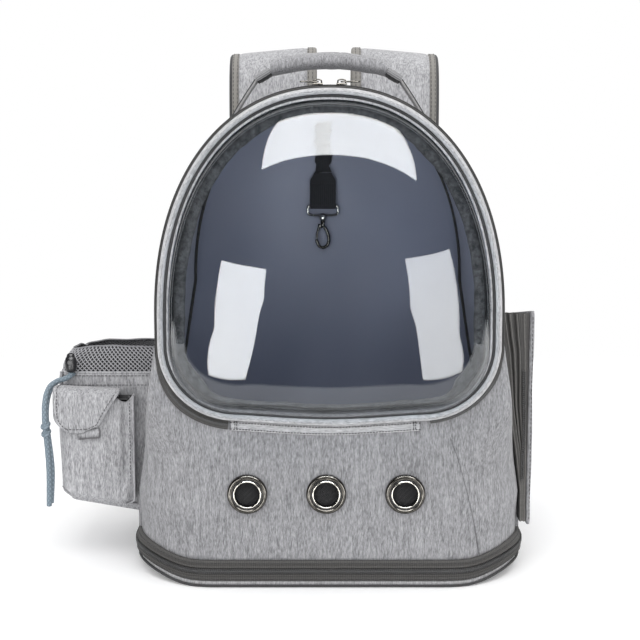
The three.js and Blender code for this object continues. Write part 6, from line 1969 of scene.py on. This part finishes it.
@dataclass
class SafetyLeash:
    """The short leash in the cabin: gathered elastic, a woven tab, an oval ring, a swivel and a snap hook."""

    x: float = -5.0
    y: float = 111.5
    wall: float = 119.6
    top: float = 400.0
    knot: float = 348.0
    tab_foot: float = 310.8
    tab_half: float = 13.4
    ring_half: float = 15.6
    wire: float = 1.4
    hook_half: float = 6.1
    tab: Profile = ((-1, -0.4), (-0.97, -0.85), (-0.85, -1), (0.85, -1), (0.97, -0.85), (1, -0.4),
                    (1, 0.4), (0.97, 0.85), (0.85, 1), (-0.85, 1), (-0.97, 0.85), (-1, 0.4))

    def webbing(self) -> None:
        """Elastic gathered in soft folds, then the folded tab."""
        stops = ((0.0, 8.0, 1.2, 0.9), (0.1, 8.2, 1.6, -0.6), (0.19, 9.0, 2.2, 1.2), (0.26, 7.0, 1.5, -0.4),
                 (0.34, 7.2, 1.7, 0.3), (0.42, 9.0, 2.6, -1.0), (0.5, 6.6, 1.4, 0.5), (0.57, 6.8, 1.5, 0.2),
                 (0.66, 8.8, 2.7, 1.0), (0.76, 8.9, 2.4, 0.2), (0.86, 6.6, 1.4, -0.4), (0.94, 7.4, 1.6, 0.0),
                 (1.0, 9.2, 2.2, 0.0))
        rings = []
        for t in spread(0, 1, 66):
            half, thick, sway = (along([(stop[0], stop[n]) for stop in stops], t) for n in (1, 2, 3))
            y, z = mix(self.wall - 1.6, self.y, t), mix(self.top, self.knot + 0.4, t)
            ring = []
            for k, (c, n) in enumerate(circle(20)):
                pucker = 0.35 * math.sin(k * 1.9 + t * 30)
                ring.append(Vector((self.x + sway + half * squared(c, 0.7), y + (thick + pucker * 0.6) * n,
                                    z + 1.1 * math.sin(t * 26 + c * 2.2))))
            rings.append(ring)
        Draft().bar(rings).make("leash_elastic", "webbing", BLACK_WEBBING, stands_for="leash_webbing")
        tab, rings = Draft(), []
        for t in spread(0, 1, 30):
            half = self.tab_half * (0.7 + 0.3 * smooth(t / 0.22))
            thick = 2.5 - 0.7 * bump(t - 0.3, 0.02) + 0.15 * math.sin(t * 9)
            rings.append([Vector((self.x + u * half, self.y + v * thick, mix(self.knot, self.tab_foot, t)))
                          for u, v in self.tab])
        tab.bar(rings)
        for t, half in ((0.3, 13.0), (0.9, 13.2)):
            z = mix(self.knot, self.tab_foot, t)
            Stitching(pitch=2.4, length=1.7, radius=0.3).sew(
                tab, [Vector((self.x - half, self.y - 2.5, z)), Vector((self.x + half, self.y - 2.5, z))],
                FRONT_OUT)
        tab.make("leash_tab_woven", "webbing", BLACK_WEBBING, stands_for="leash_tab")

    def swivel(self) -> None:
        """The oval ring with its turned swivel boss."""
        top, foot = self.tab_foot + 4.2, self.tab_foot - 6.8
        middle, half = (top + foot) / 2, (top - foot) / 2
        loop = [Vector((self.x + self.ring_half * squared(c, 0.42), self.y, middle + half * squared(n, 0.42)))
                for c, n in circle(64)]
        boss = ((0.01, 2.2), (1.4, 2.0), (2.9, 1.2), (3.9, -0.4), (4.0, -2.2), (3.6, -4.4), (3.1, -5.5),
                (1.8, -5.5), (1.8, -2.4))
        # The whole ring takes the lighter copy of the plating, a painted highlight.
        ring = Draft().tube(loop, self.wire, sides=12, closed=True)
        ring.lathe(boss, Vector((self.x, self.y, foot)), UP, 32).make(
            "leash_ring", "gunmetal", PLATED_HIGHLIGHT, stands_for="swivel_eye")

    def snap(self) -> None:
        """The snap hook on its pin, and its sprung gate."""
        foot = self.tab_foot - 6.8
        hook_top = foot - 5.5 - 0.3
        shoulder = hook_top - 5
        h, w = 24.0, self.hook_half
        pin = ((0.01, -6.0), (1.9, -6.0), (2.3, -5.2), (2.1, -3.4), (2.6, -0.5), (2.4, 0.0), (1.3, 0.0),
               (1.3, 3.5), (0.01, 3.8))
        rivet = ((0.01, 0.6), (0.8, 0.5), (1.1, 0.2), (1.1, 0.0))
        draft = Draft().lathe(pin, Vector((self.x, self.y, hook_top)), UP, 28)
        bend = ((0.2, 0.0), (0.55 * w, 0.16), (0.95 * w, 0.45), (w, 0.68), (0.62 * w, 0.88), (0.0, 0.96),
                (-0.62 * w, 0.88), (-w, 0.68), (-1.02 * w, 0.58))
        line = rail([Vector((self.x + u, self.y, shoulder - v * h)) for u, v in bend], 7)
        draft.tube(line, 1.7, sides=14, taper=lambda s: 1.0 - 0.12 * smooth((s - 0.9) / 0.1))
        for side in (-1, 1):
            y = self.y + side * 2.0
            draft.bar([[Vector((self.x + dx, y + dy * 0.4, z))
                        for dx, dy in ((-5.1, -1), (-1, -1), (-1, 1), (-5.1, 1))]
                       for z in (shoulder - 2.8, shoulder - 1.6, hook_top - 3.4)])
            draft.lathe(rivet, Vector((self.x - 4, y + side * 0.4, shoulder - 1.7)), Vector((0, side, 0)), 14)
        draft.make("snap_hook_cast", "gunmetal", PLATED, stands_for="snap_hook", body="snap_hook")
        gate = rail([Vector((self.x - 4, self.y, shoulder - h * 0.07)),
                     Vector((self.x - w * 0.95, self.y, shoulder - h * 0.3)),
                     Vector((self.x - w * 1.02, self.y, shoulder - h * 0.56 + 0.3))], 8)
        Draft().tube(gate, 1.15, sides=12).make(
            "snap_gate_sprung", "gunmetal", PLATED, stands_for="snap_gate", body="snap_gate")

    def build(self) -> None:
        """Build the leash from the wall down to the hook."""
        self.webbing()
        self.swivel()
        self.snap()


# Studio


class Glow(Enum):
    """What a lamp is for."""

    MIRRORED = "shows in the dome and on metal, and lights nothing else"
    LIGHTING = "lights the scene, and shows in nothing"


@dataclass(frozen=True)
class Softbox:
    """A flat lamp round the object: where it stands, how big it is and how bright its face is."""

    name: str
    turn: float
    lift: float
    away: float
    size: tuple[float, float]
    radiance: float
    glow: Glow
    shift: tuple[float, float] = (0.0, 0.0)
    roll: float = 0.0
    origin: tuple[float, float, float] = (0.0, -0.2, 0.27)

    def build(self) -> None:
        """Hang the lamp, facing its origin squarely."""
        turn, lift, roll = (math.radians(v) for v in (self.turn, self.lift, self.roll))
        out = Vector((math.sin(turn) * math.cos(lift), -math.cos(turn) * math.cos(lift), math.sin(lift)))
        side = Vector((math.cos(turn), math.sin(turn), 0))
        up = out.cross(side)
        data = bpy.data.lights.new(self.name, "AREA")
        data.shape = "RECTANGLE"
        data.size, data.size_y = self.size
        data.energy = self.radiance * math.pi * self.size[0] * self.size[1]
        made = bpy.data.objects.new(self.name, data)
        tilted = side * math.cos(roll) + up * math.sin(roll)
        pose = Matrix((tilted, out.cross(tilted), out)).transposed().to_4x4()
        pose.translation = Vector(self.origin) + out * self.away + side * self.shift[0] + up * self.shift[1]
        made.matrix_world = pose
        made.visible_camera = False
        made.visible_diffuse = self.glow is Glow.LIGHTING
        made.visible_glossy = self.glow is Glow.MIRRORED
        bpy.context.scene.collection.objects.link(made)


@dataclass
class Studio:
    """The camera, the pale table and the soft lamps that the dome mirrors."""

    eye: tuple[float, float, float] = (-8.0, -1180.0, 403.5)
    lens: float = 70.0
    tilt: float = 7.0
    shift: float = -0.0755
    table_front: float = -345.0
    table_back: float = 900.0
    boxes: tuple[Softbox, ...] = (
        Softbox("window_left", -25, -20, 1.3, (0.6, 1.0), 9.8, Glow.MIRRORED, (-0.06, -0.092), -12),
        Softbox("window_right", 32, -15, 1.3, (0.82, 1.06), 7.2, Glow.MIRRORED, (0.147, -0.157), 13),
        Softbox("window_above", 0, 60, 1.3, (1.835, 2.1), 9.8, Glow.MIRRORED, (0.19, 0.335)),
        Softbox("fill_above", 0, 62, 2.2, (1.6, 1.2), 2.2, Glow.LIGHTING),
        Softbox("fill_left", -48, 20, 2.4, (1.0, 1.4), 1.6, Glow.LIGHTING),
        Softbox("fill_right", 44, 16, 2.4, (1.0, 1.4), 1.2, Glow.LIGHTING),
        Softbox("fill_cabin", -18, 8, 0.22, (0.12, 0.12), 9.0, Glow.LIGHTING, origin=(0.05, 0.1, 0.29)),
    )

    def camera(self) -> None:
        """Place the camera; its shift keeps uprights almost upright."""
        data = bpy.data.cameras.new("camera")
        data.lens = self.lens
        data.sensor_width = 36
        data.shift_y = self.shift
        made = bpy.data.objects.new("camera", data)
        made.location = Vector(self.eye) * MM
        made.rotation_euler = (math.radians(90 - self.tilt), 0, 0)
        bpy.context.scene.collection.objects.link(made)
        bpy.context.scene.camera = made

    def table(self) -> None:
        """A pale table top whose front edge ends just before the object, with a rounded lip."""
        draft = Draft()
        front, back, half = self.table_front, self.table_back, 1300.0
        rows = []
        for y, z in ((front + 6, -30), (front, -24), (front, -6), (front + 1.8, -1.8), (front + 6, -0.1),
                     (front + 40, -0.1), (0, -0.1), (back, -0.1)):
            rows.append([Vector((x, y, z)) for x in spread(-half, half, 9)])
        draft.grid(rows)
        made = draft.make("table", "", TABLE)

    def sky(self) -> None:
        """White all round, which lights the scene softly and shows in no gloss."""
        world = bpy.data.worlds.new("studio")
        bpy.context.scene.world = world
        world.use_nodes = True
        world.cycles_visibility.glossy = False
        tree = world.node_tree
        tree.nodes.clear()
        back = add_node(tree, "ShaderNodeBackground", {"Strength": 1.0, "Color": (1.0, 1.0, 1.0, 1.0)})
        add_node(tree, "ShaderNodeOutputWorld", links={"Surface": back.outputs[0]})

    def build(self) -> None:
        """Set the stage."""
        self.camera()
        self.sky()
        self.table()
        for box in self.boxes:
            box.build()
        bpy.context.scene.view_settings.view_transform = "Standard"


def main() -> None:
    """Load the model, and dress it."""
    logging.basicConfig(level=logging.INFO, format="%(name)s %(message)s")
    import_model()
    Studio().build()
    Drawcord().build()
    for part in (CanvasBody(), BaseZip(), Vents(), BubbleDoor(), PaddedHandle(), ShoulderStraps(),
                 SidePockets(), SideExpansion(), SafetyLeash()):
        part.build()
        LOG.info("%s built", type(part).__name__)


if __name__ == "__main__":
    main()
